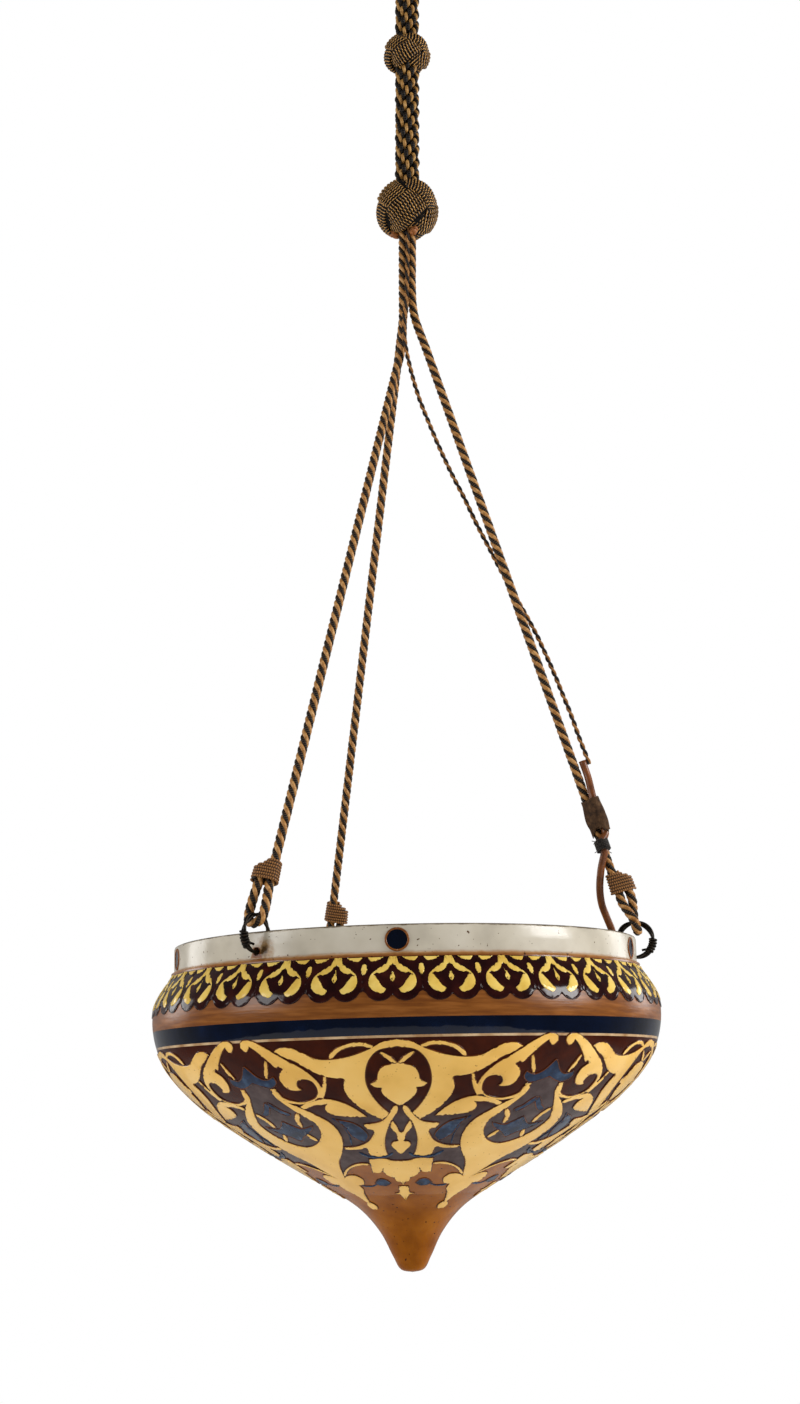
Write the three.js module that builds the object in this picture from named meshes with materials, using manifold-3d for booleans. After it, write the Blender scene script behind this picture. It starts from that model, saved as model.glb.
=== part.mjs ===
// Pendant lamp: a leaf-painted ceramic bowl hung from a rope by three looped cords.
// Millimetres, +Z up. The origin is the centre of the ceiling plate's top face,
// the front of the lamp faces -Y, and azimuths run from the front towards +X.
import * as THREE from 'three';
import { mergeVertices } from 'three/addons/utils/BufferGeometryUtils.js';
import Module from 'manifold-3d';

const wasm = await Module();
wasm.setup();

// Driving dimensions: clearance between pieces that touch
const fit = 0.35;

// Driving dimensions: ceiling plate, hook and ring
const plateRadius = 45;
const plateThickness = 5;
const plateEdge = 1.5;
const bossRadius = 12;
const bossDepth = 13;
const bossFlare = 4;
const bossEdge = 2;
const plateScrewCircle = 34;
const plateScrewShank = 2;
const plateScrewHead = 4.2;
const plateScrewLength = 28;
const plateScrewPoint = 5;
const hookWire = 7;
const hookBowRadius = 17;
const hookNeck = 24;
const hookShares = [[0.04, 1.24], [0.7, 0.85]];
const hookTipShares = [[-1, 0.25], [-1.15, 0.6]];
const ringWire = 5;
const ringRadius = 16;
const eyeWire = 5;
const eyeRadius = 10;
const nutAcross = 13;
const nutHeight = 6;

// Driving dimensions: rope
const cupLength = 31;
const cupWall = 1.8;
const cupCrownRadius = 9;
const cupShoulder = 5;
const cupLip = 1.4;
const cupLipHeight = 6;
const strandDiameter = 5.8;
const strandCount = 6;
const ropeLay = 174;
const ropeLength = 209;
const collarDrop = 81;
const collarRadius = 17.8;
const collarHeight = 31;
const ballRadius = 23.4;
const ballHeight = 46;

// Driving dimensions: bowl, heights above its tip
const ballToTip = 756;
const bowlLean = 1.3;
const leanPivotHeight = 125;
const bowlWall = 6;
const rimBand = 17.6;
const rimRadius = 155.4;
const rimFoot = [rimRadius + 2, 194.6];
const rimGroove = [rimRadius + 1.6, 192.4];
const rimEdge = 1.2;
const floorRadius = 37;
const bowlOutline = [
  [7.6, 1.9], [12.4, 10], [20.3, 25.2], [33.6, 40.5], [61, 58.4], [103.1, 84.1],
  [139.7, 109.8], [161.8, 134.8], [169, 155.3], [168.4, 173],
];

// Driving dimensions: cords, their loops and rim rings
const cordDiameter = 6.4;
const rimHoleDrop = 12.2;
const rimRingWire = 3.4;
const rimRingRadius = 11.5;
const rimRingOffset = 3;
const loopRadius = 5.9;
const loopHeight = 22;
const whippingWire = 1.3;
const whippingPitch = 1.79;
const whippingTurns = 8;
const whippingTaper = 0.45;
const leftLeave = 649;
const rightLeave = 676;
const backLeave = 700;
const stations = [
  { name: 'left', azimuth: -36, returnSide: -1, bundleAzimuth: -60, leaveHeight: leftLeave },
  { name: 'right', azimuth: 84, returnSide: 1, bundleAzimuth: 60, leaveHeight: rightLeave },
  { name: 'back', azimuth: 200.5, returnSide: 1, bundleAzimuth: 180, leaveHeight: backLeave },
];

// Driving dimensions: flex, rubber cable, tape and binding
const flexDiameter = 3.5;
const flexBreakHeight = 712;
const cableDiameter = 5;
const cableStarts = [335, 324];
const tapeTop = 308;
const tapeLength = 21;
const tapeWall = 0.8;
const bindingTop = 281;
const bindingLength = 6;
const bindingWall = 1;

// Driving dimensions: lampholder and bulb, heights above the bowl's tip
const trayHeight = 72;
const trayThickness = 7;
const nippleRadius = 5;
const nippleBore = 3.4;
const nippleTail = 11;
const nippleReach = 5;
const locknutAcross = 17;
const locknutHeight = 5;
const holderRadius = 21;
const holderWall = 2;
const holderEdge = 3;
const skirtLip = 5;
const holderCapHeight = 26;
const cableEntryHeight = 13;
const insertHeight = 8;
const skirtHeight = 25;
const sleeveRadius = 13.7;
const sleeveWall = 1.2;
const sleeveHeight = 21;
const contactHeight = 2.5;
const contactRadius = 4;
const bulbPipHeight = 1.2;
const bulbInsulatorHeight = 3.2;
const bulbCapRadius = 13.2;
const bulbCapHeight = 21;
const bulbCapWall = 0.9;
const bulbRadius = 22.5;
const bulbGlassHeight = 66;
const bulbGlassWall = 1;
const bulbNeckDepth = 12;

// Levels worked out from the ceiling down to the bowl's tip
const plateBottom = -plateThickness;
const bossBottom = plateBottom - bossDepth;
const hookCentre = bossBottom - hookNeck;
const hookBottom = hookCentre - hookBowRadius;
const ringTop = hookBottom + (hookWire + ringWire) / 2 + fit;
const ringCentre = ringTop - ringRadius;
const ringBottom = ringCentre - ringRadius;
const eyeTop = ringBottom + (ringWire + eyeWire) / 2 + fit;
const eyeCentre = eyeTop - eyeRadius;
const cupTop = eyeCentre - eyeRadius - eyeWire / 2 - fit;
const nutTop = cupTop - cupWall - fit;
const ropeTop = nutTop - nutHeight - fit;
const ballCentre = ropeTop - ropeLength;
const tipLevel = ballCentre - ballToTip;

// Radii worked out for the rope, and for the three cords packed with the flex before them
const strandRadius = strandDiameter / 2;
const strandRing = strandDiameter + 2 * fit;
const ropeRadius = strandRing + strandRadius;
const cordRadius = cordDiameter / 2;
const flexRadius = flexDiameter / 2;
const cordRing = (cordDiameter + fit) / Math.sqrt(3);
const flexReach = cordRadius + flexRadius + fit;
const flexSlot = cordRing / 2 + Math.sqrt(flexReach ** 2 - (0.75 * cordRing ** 2));

const lamp = new THREE.Group();
lamp.name = 'pendant_lamp';

// One mesh with its own material, added to its group
function addPiece(parent, name, geometry, color, roughness, metalness = 0) {
  const material = new THREE.MeshStandardMaterial({ color, roughness, metalness });
  const mesh = new THREE.Mesh(geometry, material);
  mesh.name = name;
  parent.add(mesh);
  return mesh;
}

// Turned piece whose closed outline is a list of [radius, height]
function turned(outline, segments) {
  const points = outline.map(([r, z]) => new THREE.Vector2(r, z));
  if (THREE.ShapeUtils.isClockWise(points)) points.reverse();
  if (points[0].x > 0) points.push(points[0].clone());
  return new THREE.LatheGeometry(points, segments).rotateX(Math.PI / 2);
}

// Section of a round rod with flat sides
function roundSection(radius, sides) {
  const corners = [];
  for (let i = 0; i < sides; i += 1) {
    const angle = (2 * Math.PI * (i + 0.5)) / sides;
    corners.push(new THREE.Vector2(radius * Math.cos(angle), radius * Math.sin(angle)));
  }
  return new THREE.Shape(corners);
}

// Curve that keeps its rings where its points are, close together round tight bends
class PointedCurve extends THREE.CatmullRomCurve3 {
  getUtoTmapping(u) {
    return u;
  }
}

// Rod, wire or cord along a curve through a list of points
function rod(points, radius, sides, ringsPerSpan = 1) {
  const extrudePath = new PointedCurve(points, false, 'centripetal');
  const steps = (points.length - 1) * ringsPerSpan;
  return new THREE.ExtrudeGeometry(roundSection(radius, sides), { steps, extrudePath });
}

// Hexagon nut with a round bore, its lower face at z = 0
function nut(across, height, boreRadius) {
  const shape = roundSection(across / Math.sqrt(3), 6);
  const bore = new THREE.Path();
  bore.absarc(0, 0, boreRadius, 0, 2 * Math.PI, true);
  shape.holes.push(bore);
  return new THREE.ExtrudeGeometry(shape, { depth: height, bevelEnabled: false, curveSegments: 10 });
}

function toSolid(geometry) {
  const bare = geometry.clone();
  bare.deleteAttribute('normal');
  bare.deleteAttribute('uv');
  const merged = mergeVertices(bare, 1e-4);
  return new wasm.Manifold(new wasm.Mesh({
    numProp: 3,
    vertProperties: merged.attributes.position.array,
    triVerts: new Uint32Array(merged.index.array),
  }));
}

function fromSolid(solid) {
  const mesh = solid.getMesh();
  const geometry = new THREE.BufferGeometry();
  geometry.setAttribute('position', new THREE.BufferAttribute(mesh.vertProperties, 3));
  geometry.setIndex(new THREE.BufferAttribute(mesh.triVerts, 1));
  geometry.computeVertexNormals();
  return geometry;
}

function cut(geometry, ...tools) {
  let solid = toSolid(geometry);
  tools.forEach((tool) => {
    solid = solid.subtract(toSolid(tool));
  });
  return fromSolid(solid);
}

function join(geometry, ...others) {
  let solid = toSolid(geometry);
  others.forEach((other) => {
    solid = solid.add(toSolid(other));
  });
  return fromSolid(solid);
}

const vector = (x, y, z) => new THREE.Vector3(x, y, z);

// Ceiling plate with a boss for the hook and three countersunk screw holes
const screwHeadDepth = plateScrewHead - plateScrewShank;
const hookBore = hookWire / 2 + fit;
const hookBoreTop = -plateEdge;
const plateOutline = [
  [0, hookBoreTop], [hookBore, hookBoreTop], [hookBore, bossBottom], [bossRadius - bossEdge, bossBottom],
  [bossRadius, plateBottom - bossFlare], [bossRadius + bossFlare, plateBottom],
  [plateRadius - plateEdge, plateBottom], [plateRadius, plateBottom + plateEdge], [plateRadius, 0], [0, 0],
];
const screwPlaces = [30, 150, 270].map((degrees) => {
  const angle = THREE.MathUtils.degToRad(degrees);
  return [plateScrewCircle * Math.cos(angle), plateScrewCircle * Math.sin(angle)];
});
const screwHole = turned([
  [0, plateBottom - 1], [plateScrewHead + fit, plateBottom - 1], [plateScrewHead + fit, plateBottom],
  [plateScrewShank + fit, plateBottom + screwHeadDepth], [plateScrewShank + fit, 1], [0, 1],
], 16);
addPiece(lamp, 'ceiling_plate', cut(
  turned(plateOutline, 28),
  ...screwPlaces.map(([x, y]) => screwHole.clone().translate(x, y, 0)),
), 0x2b2723, 0.55, 0.7);

screwPlaces.forEach(([x, y], index) => {
  const screw = turned([
    [0, plateBottom], [plateScrewHead, plateBottom], [plateScrewShank, plateBottom + screwHeadDepth],
    [plateScrewShank, plateScrewLength - plateThickness - plateScrewPoint],
    [0, plateScrewLength - plateThickness],
  ], 14);
  addPiece(lamp, `ceiling_screw_${index + 1}`, screw, 0x8d8578, 0.4, 0.9).position.set(x, y, 0);
});

// Hook: its shank screws into the boss, and its bow carries the ring
const hookArc = [];
for (let degrees = 0; degrees >= -180; degrees -= 15) {
  const angle = THREE.MathUtils.degToRad(degrees);
  hookArc.push(vector(hookBowRadius * Math.cos(angle), 0, hookCentre + hookBowRadius * Math.sin(angle)));
}
const onBow = ([x, z]) => vector(x * hookBowRadius, 0, hookCentre + z * hookBowRadius);
addPiece(lamp, 'ceiling_hook', rod([
  vector(0, 0, hookBoreTop - fit), vector(0, 0, bossBottom + bossDepth / 2), vector(0, 0, bossBottom),
  ...hookShares.map(onBow), ...hookArc, ...hookTipShares.map(onBow),
], hookWire / 2, 8), 0x2a2622, 0.5, 0.75);

// Link ring between the hook and the rope's eye
const linkRing = new THREE.TorusGeometry(ringRadius, ringWire / 2, 8, 24);
const ringMesh = addPiece(lamp, 'link_ring', linkRing, 0x2a2622, 0.5, 0.75);
ringMesh.rotation.y = Math.PI / 2;
ringMesh.position.z = ringCentre;

// Eye bolt through the rope cup, with its nut inside the cup
const shankRadius = eyeWire / 2;
const eyeShank = new THREE.CylinderGeometry(shankRadius, shankRadius, 1, 12).rotateX(Math.PI / 2);
const eyeShankTop = eyeCentre - eyeRadius;
const eyeShankBottom = nutTop - nutHeight;
eyeShank.scale(1, 1, eyeShankTop - eyeShankBottom);
eyeShank.translate(0, 0, (eyeShankTop + eyeShankBottom) / 2);
const eyeTorus = new THREE.TorusGeometry(eyeRadius, eyeWire / 2, 8, 20)
  .rotateX(Math.PI / 2).translate(0, 0, eyeCentre);
addPiece(lamp, 'rope_eye', join(eyeTorus, eyeShank), 0x8a6a34, 0.4, 0.85);
addPiece(lamp, 'eye_nut', nut(nutAcross, nutHeight, shankRadius + fit), 0x8a6a34, 0.45, 0.85)
  .position.z = nutTop - nutHeight;

// Rope cup: a bell-shaped ferrule that grips the rope's end
const cupBore = ropeRadius + fit;
const cupRadius = cupBore + cupWall;
const cupBottom = cupTop - cupLength;
addPiece(lamp, 'rope_cup', turned([
  [shankRadius + fit, cupTop], [cupCrownRadius, cupTop], [cupRadius, cupTop - cupShoulder],
  [cupRadius, cupBottom + cupLipHeight], [cupRadius + cupLip, cupBottom + cupLipHeight / 3],
  [cupRadius + cupLip, cupBottom], [cupBore, cupBottom], [cupBore, cupTop - cupShoulder],
  [cupCrownRadius - fit, cupTop - cupWall], [shankRadius + fit, cupTop - cupWall],
], 24), 0x8a6a34, 0.38, 0.85);

// Rope: six strands laid round a core that holds the electric flex
const strandTilt = (strandRadius * 2 * Math.PI * strandRing) / ropeLay;
const strandTop = ropeTop - strandTilt;
const coreEnd = ballCentre + fit / 2;
const strandEnd = coreEnd + strandTilt;
for (let strand = 0; strand < strandCount; strand += 1) {
  const points = [];
  const rings = 12;
  for (let i = 0; i <= rings; i += 1) {
    const z = THREE.MathUtils.lerp(strandTop, strandEnd, i / rings);
    const azimuth = 2 * Math.PI * (strand / strandCount + (strandTop - z) / ropeLay);
    points.push(vector(strandRing * Math.sin(azimuth), -strandRing * Math.cos(azimuth), z));
  }
  addPiece(lamp, `rope_strand_${strand + 1}`, rod(points, strandRadius, 8), 0x6a4c2c, 0.85);
}
const coreRadius = strandRing - strandRadius - fit;
addPiece(lamp, 'rope_core_flex', rod(
  [vector(0, 0, ropeTop), vector(0, 0, (ropeTop + coreEnd) / 2), vector(0, 0, coreEnd)],
  coreRadius, 8, 3,
), 0x3a2c20, 0.85);

// Barrel and ball: knots worked over the rope, each with a bore for what it grips
function knot(centre, radius, height, boreTop, boreBottom, segments) {
  const outline = [];
  const rows = 10;
  const bore = Math.max(boreTop, boreBottom);
  const start = Math.asin(Math.min(1, bore / radius));
  for (let i = 0; i <= rows; i += 1) {
    const angle = start + ((Math.PI - 2 * start) * i) / rows;
    const z = centre + (height / 2) * (Math.cos(angle) / Math.cos(start));
    outline.push([radius * Math.sin(angle), z]);
  }
  outline[0][0] = boreTop;
  outline[rows][0] = boreBottom;
  if (boreTop !== boreBottom) outline.push([boreBottom, centre], [boreTop, centre]);
  return turned(outline, segments);
}
const bundleBore = flexSlot + flexRadius + fit;
addPiece(lamp, 'collar_knot', knot(
  ropeTop - collarDrop, collarRadius, collarHeight, ropeRadius + fit, ropeRadius + fit, 24,
), 0x7a5730, 0.8);
addPiece(lamp, 'ball_knot', knot(
  ballCentre, ballRadius, ballHeight, ropeRadius + fit, bundleBore, 28,
), 0x7a5730, 0.8);

// Bowl outline: a smooth line up to the groove under the rim, then the upright rim
const outlineCurve = new THREE.CatmullRomCurve3(
  [[0, 0], ...bowlOutline, rimGroove].map(([r, z]) => vector(r, z, 0)), false, 'centripetal',
);
const rimHeight = rimFoot[1] + rimBand;
const outerWall = outlineCurve.getSpacedPoints(20).map((point) => [point.x, point.y]);
outerWall[0] = [0, 0];

// Inner wall: the outer one moved in by the wall's thickness
function innerOffset(points) {
  return points.map(([r, z], i) => {
    const [r0, z0] = points[Math.max(0, i - 1)];
    const [r1, z1] = points[Math.min(points.length - 1, i + 1)];
    const length = Math.hypot(r1 - r0, z1 - z0);
    return [r - (bowlWall * (z1 - z0)) / length, z + (bowlWall * (r1 - r0)) / length];
  }).filter(([r]) => r > floorRadius);
}
const innerWall = innerOffset(outerWall);
const innerRim = rimRadius - bowlWall;

// Radius of the inner wall at a height above the tip
function innerRadiusAt(height) {
  for (let i = 1; i < innerWall.length; i += 1) {
    const [r0, z0] = innerWall[i - 1];
    const [r1, z1] = innerWall[i];
    if (z1 >= height) return r0 + ((r1 - r0) * (height - z0)) / (z1 - z0);
  }
  return innerRim;
}

// The bowl and what it holds stand in a group that leans as one
const leaning = new THREE.Group();
leaning.position.z = tipLevel + leanPivotHeight;
leaning.rotation.y = THREE.MathUtils.degToRad(-bowlLean);
lamp.add(leaning);
const bowlFrame = new THREE.Group();
bowlFrame.position.z = -leanPivotHeight;
leaning.add(bowlFrame);
bowlFrame.updateWorldMatrix(true, false);

// Radial holes through the rim for the rim rings
const rimHoleHeight = rimHeight - rimHoleDrop;
const ringCentreRadius = rimRadius - bowlWall / 2 + rimRingOffset;
const ringRise = Math.sqrt(rimRingRadius ** 2 - rimRingOffset ** 2);
const innerReach = ringCentreRadius - innerRim;
const innerRise = Math.sqrt(rimRingRadius ** 2 - innerReach ** 2);
const rimHoleRadius = ringRise - innerRise + (rimRingWire / 2) * Math.hypot(1, innerReach / innerRise) + fit;
function rimHole(azimuth) {
  return new THREE.CylinderGeometry(rimHoleRadius, rimHoleRadius, 4 * bowlWall, 14)
    .translate(0, -rimRadius, rimHoleHeight)
    .rotateZ(THREE.MathUtils.degToRad(azimuth));
}
addPiece(bowlFrame, 'bowl', cut(turned([
  ...outerWall, rimFoot, [rimRadius, rimHeight - rimEdge], [rimRadius - rimEdge, rimHeight],
  [innerRim + rimEdge, rimHeight], [innerRim, rimHeight - rimEdge], [innerRim, rimFoot[1]],
  ...innerWall.toReversed(), [0, innerWall[0][1]],
], 40), ...stations.map(({ azimuth }) => rimHole(azimuth))), 0x8a5a30, 0.25);

// Rim rings, cords with their loops, and the whippings over the loops' ends
const legOffset = cordRadius + fit / 2;
const whippingHeight = whippingPitch * whippingTurns;
const smooth = (value) => THREE.MathUtils.smoothstep(value, 0, 1);

// Frame of one station: where the loop hangs on its ring, and how its cord runs
function layOut(station) {
  const frame = new THREE.Group();
  frame.rotation.z = THREE.MathUtils.degToRad(station.azimuth);
  bowlFrame.add(frame);
  frame.updateWorldMatrix(true, false);
  const seat = frame.localToWorld(vector(0, -ringCentreRadius, rimHoleHeight + ringRise + rimRingRadius));
  const bundleAngle = THREE.MathUtils.degToRad(station.bundleAzimuth);
  const [x, y] = [cordRing * Math.sin(bundleAngle), -cordRing * Math.cos(bundleAngle)];
  const leave = vector(x, y, tipLevel + station.leaveHeight);
  const across = vector(station.returnSide, 0, 0);
  const up = leave.clone().addScaledVector(across, legOffset).sub(seat).normalize();
  across.addScaledVector(up, -across.dot(up)).normalize();
  const along = vector(1, 0, 0).transformDirection(frame.matrixWorld);
  if (along.dot(across) < 0) along.negate();
  along.addScaledVector(up, -along.dot(up)).normalize();
  const depth = vector(0, 0, 0).crossVectors(up, across);
  return { ...station, frame, seat, leave, up, across, along, depth };
}
const laidOut = stations.map(layOut);

// Point on a loop's leg: side -1 is the cord coming down, side 1 the part going back up
function legPoint(station, height, side) {
  const turn = smooth(height / loopHeight);
  const way = station.along.clone().lerp(station.across, turn).normalize();
  const offset = THREE.MathUtils.lerp(loopRadius, legOffset, turn);
  return station.seat.clone().addScaledVector(station.up, height).addScaledVector(way, side * offset);
}

function cordPoints(station) {
  const points = [];
  const { x, y, z } = station.leave;
  points.push(vector(x, y, ballCentre - fit / 2));
  points.push(vector(x, y, (ballCentre + z) / 2));
  points.push(vector(x, y, z + 2 * cordDiameter));
  const top = legPoint(station, loopHeight + whippingHeight, -1);
  const straights = 15;
  const bendShare = 0.012;
  for (let i = 0; i <= straights; i += 1) {
    points.push(station.leave.clone().lerp(top, THREE.MathUtils.lerp(bendShare, 1, i / straights)));
  }
  [0.5, 0].forEach((share) => points.push(legPoint(station, loopHeight + whippingHeight * share, -1)));
  [0.7, 0.35].forEach((share) => points.push(legPoint(station, loopHeight * share, -1)));
  for (let degrees = 0; degrees <= 180; degrees += 22.5) {
    const angle = THREE.MathUtils.degToRad(degrees);
    points.push(station.seat.clone()
      .addScaledVector(station.along, -loopRadius * Math.cos(angle))
      .addScaledVector(station.up, -loopRadius * Math.sin(angle)));
  }
  [0.35, 0.7, 1].forEach((share) => points.push(legPoint(station, loopHeight * share, 1)));
  points.push(legPoint(station, loopHeight + whippingHeight * (1 - whippingTaper) * 0.8, 1));
  return points;
}

// Whipping: one unbroken wire wound in turns, round at its top and oval over both legs
function whippingPath(station, stepsPerTurn) {
  const path = [];
  const outward = [];
  const flatSpans = 1.09;
  const flatShare = 2.2;
  const reach = (cordRadius + fit + whippingWire / 2) * flatSpans;
  for (let i = 0; i <= whippingTurns * stepsPerTurn; i += 1) {
    const angle = (2 * Math.PI * i) / stepsPerTurn;
    const down = i / (whippingTurns * stepsPerTurn);
    const spread = smooth(down / whippingTaper);
    const shift = -legOffset * (1 - spread);
    const overLeg = legOffset * spread * THREE.MathUtils.clamp(flatShare * Math.cos(angle), -1, 1);
    const way = station.across.clone().multiplyScalar(Math.cos(angle) * reach + overLeg)
      .addScaledVector(station.depth, Math.sin(angle) * reach);
    const centre = station.seat.clone()
      .addScaledVector(station.up, loopHeight + whippingHeight * (1 - down))
      .addScaledVector(station.across, shift);
    path.push(centre.add(way));
    outward.push(way.normalize());
  }
  return { path, outward };
}

// Tube joined ring by ring, with a closed end at each side
function woundTube(path, outward, radius, sides) {
  const positions = [];
  path.forEach((point, i) => {
    const before = path[Math.max(0, i - 1)];
    const after = path[Math.min(path.length - 1, i + 1)];
    const tangent = after.clone().sub(before).normalize();
    const out = outward[i].clone().addScaledVector(tangent, -outward[i].dot(tangent)).normalize();
    const side = tangent.clone().cross(out);
    for (let k = 0; k < sides; k += 1) {
      const angle = (2 * Math.PI * k) / sides;
      const corner = point.clone().addScaledVector(out, radius * Math.cos(angle))
        .addScaledVector(side, radius * Math.sin(angle));
      positions.push(...corner.toArray());
    }
  });
  const faces = [];
  for (let i = 0; i < path.length - 1; i += 1) {
    for (let k = 0; k < sides; k += 1) {
      const a = i * sides + k;
      const b = i * sides + ((k + 1) % sides);
      faces.push(a, b, b + sides, a, b + sides, a + sides);
    }
  }
  const last = (path.length - 1) * sides;
  for (let k = 1; k < sides - 1; k += 1) {
    faces.push(0, k + 1, k, last, last + k, last + k + 1);
  }
  const geometry = new THREE.BufferGeometry();
  geometry.setAttribute('position', new THREE.Float32BufferAttribute(positions, 3));
  geometry.setIndex(faces);
  geometry.computeVertexNormals();
  return geometry;
}

// Least gap of a wound wire to itself, measured between points half a turn or more apart
function leastGap(path, stepsPerTurn, wire) {
  let least = Infinity;
  for (let i = 0; i < path.length; i += 1) {
    for (let j = i + stepsPerTurn / 2; j < path.length; j += 1) {
      least = Math.min(least, path[i].distanceTo(path[j]));
    }
  }
  return least - wire;
}

laidOut.forEach((station) => {
  const ring = new THREE.TorusGeometry(rimRingRadius, rimRingWire / 2, 7, 22).rotateY(Math.PI / 2);
  addPiece(station.frame, `rim_ring_${station.name}`, ring, 0x1c1a16, 0.6, 0.6)
    .position.set(0, -ringCentreRadius, rimHoleHeight + ringRise);
  addPiece(lamp, `cord_${station.name}`, rod(cordPoints(station), cordRadius, 8), 0x5c4227, 0.85);
  const stepsPerTurn = 12;
  const { path, outward } = whippingPath(station, stepsPerTurn);
  const gap = leastGap(path, stepsPerTurn, whippingWire);
  console.log(`whipping_${station.name}: least gap to itself ${gap.toFixed(2)} mm`);
  addPiece(lamp, `whipping_${station.name}`, woundTube(path, outward, whippingWire / 2, 5), 0x6b4a2a, 0.8);
});

// Flex: out of the ball's front, down beside the cords and behind the right one
const rightCord = laidOut.find(({ name }) => name === 'right');
const rightTop = legPoint(rightCord, loopHeight + whippingHeight, -1);
const rightWay = rightTop.clone().sub(rightCord.leave).normalize();
const rightRun = (height) => (tipLevel + height - rightCord.leave.z) / rightWay.z;
const flexStart = [[-1, -6.8, 681], [-2.6, -7.6, 661], [-1.2, -8.9, 643]]
  .map(([x, y, height]) => vector(x, y, tipLevel + height));

// Its way down, as [offset from the right cord, y, height above the tip]
const flexPoints = [
  [-17.4, -8.4, 624], [-18.1, -7, 605], [-17, -5.6, 586], [-15.4, -4.6, 567],
  [-13.1, -4, 548], [-10.1, -3.6, 530], [-7.7, -3.2, 511], [-4.4, -2.6, 492],
  [-0.9, -2, 472], [3.3, -2.2, 452], [7.1, -4.2, 430], [8.8, -6, 412],
  [9.6, -8, 398], [10.1, -9.4, 384], [10.7, -10.4, 370], [10.7, -11, 355],
  [11, -11.4, 344], [11.2, -11.6, 335.4],
].map(([offset, y, height]) => (
  vector(rightCord.leave.x + rightWay.x * rightRun(height) + offset, y, tipLevel + height)
));
addPiece(lamp, 'twisted_flex', rod([
  ...[ballCentre - fit / 2, tipLevel + flexBreakHeight].map((z) => vector(0, -flexSlot, z)),
  ...flexStart, ...flexPoints,
], flexRadius, 8, 2), 0x4a3623, 0.85);

// Rubber cable: joined to the flex, taped and bound to the right cord, then into the bowl
const rightSide = vector(0, 1, 0).cross(rightWay).negate().normalize();
const rightFront = rightSide.clone().cross(rightWay).normalize();
if (rightFront.y > 0) rightFront.negate();
if (rightSide.x < 0) rightSide.negate();
function besideRightCord(height, side, front) {
  return rightCord.leave.clone().addScaledVector(rightWay, rightRun(height))
    .addScaledVector(rightSide, side).addScaledVector(rightFront, front);
}
const cableRadius = cableDiameter / 2;
const taped = cordRadius + cableRadius + 2 * fit;
const tapedAngle = THREE.MathUtils.degToRad(50);
const [tapedSide, tapedFront] = [taped * Math.cos(tapedAngle), taped * Math.sin(tapedAngle)];
const holderBase = trayHeight + trayThickness + fit;
const entryHeight = holderBase + cableEntryHeight;
const entryPoint = bowlFrame.localToWorld(vector(holderRadius + fit, 0, entryHeight));
const intoEntry = bowlFrame.localToWorld(vector(holderRadius + 2 * cableDiameter, 0, entryHeight));

// Its way over the rim, as [distance inside the rim's radius, y, height above the rim]
const cablePoints = [
  [25, -17, 49.8], [25.6, -12, 37.8], [23.9, -6, 27.8], [19.8, 1, 18.8],
  [15.6, 7, 9.8], [14.2, 11, 0.8], [15.8, 13, -9.2], [18.8, 15, -24.2],
  [21.8, 16, -40.2], [26.8, 16, -60.2], [35, 15, -80.2], [48, 13, -98.2],
  [66.8, 10, -111.2], [89.4, 6.4, -117.6],
].map(([inside, y, above]) => vector(rimRadius - inside, y, tipLevel + rimHeight + above));
addPiece(lamp, 'rubber_cable', rod([
  ...cableStarts.map((height) => besideRightCord(height, taped, cableRadius / 3)),
  besideRightCord(tapeTop + cableRadius, tapedSide + fit, tapedFront),
  besideRightCord(tapeTop - tapeLength / 2, tapedSide, tapedFront),
  besideRightCord(tapeTop - tapeLength - cableRadius, tapedSide, tapedFront),
  besideRightCord(bindingTop, 0, taped), besideRightCord(bindingTop - bindingLength, -fit, taped),
  ...cablePoints, intoEntry, entryPoint,
], cableRadius, 8, 2), 0x7a4520, 0.55);

// Sleeve round the right cord and the cable, its bore a slot that clears both
function sleeveRound(top, length, side, front, wall) {
  const low = besideRightCord(top - length, 0, 0);
  const high = besideRightCord(top, 0, 0);
  const reach = Math.hypot(side, front);
  const slot = new THREE.Path();
  const outer = new THREE.Shape();
  const draw = (line, radius, clockwise) => {
    line.absarc(0, 0, radius, Math.PI / 2, 1.5 * Math.PI, clockwise);
    line.absarc(reach, 0, radius, -Math.PI / 2, Math.PI / 2, clockwise);
    line.closePath();
  };
  const bore = cordRadius + 2 * fit;
  draw(outer, bore + wall, false);
  draw(slot, bore, false);
  outer.holes.push(slot);
  const depth = high.distanceTo(low);
  const geometry = new THREE.ExtrudeGeometry(outer, { depth, bevelEnabled: false, curveSegments: 6 });
  const zAxis = high.clone().sub(low).normalize();
  const xAxis = rightSide.clone().multiplyScalar(side).addScaledVector(rightFront, front).normalize();
  const yAxis = zAxis.clone().cross(xAxis);
  const frame = new THREE.Matrix4().makeBasis(xAxis, yAxis, zAxis).setPosition(low);
  return geometry.applyMatrix4(frame);
}
const tape = sleeveRound(tapeTop, tapeLength, tapedSide, tapedFront, tapeWall);
addPiece(lamp, 'tape_sleeve', tape, 0x4a3420, 0.7);
const binding = sleeveRound(bindingTop, bindingLength, 0, taped, bindingWall);
addPiece(lamp, 'thread_binding', binding, 0x2c221a, 0.85);

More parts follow.
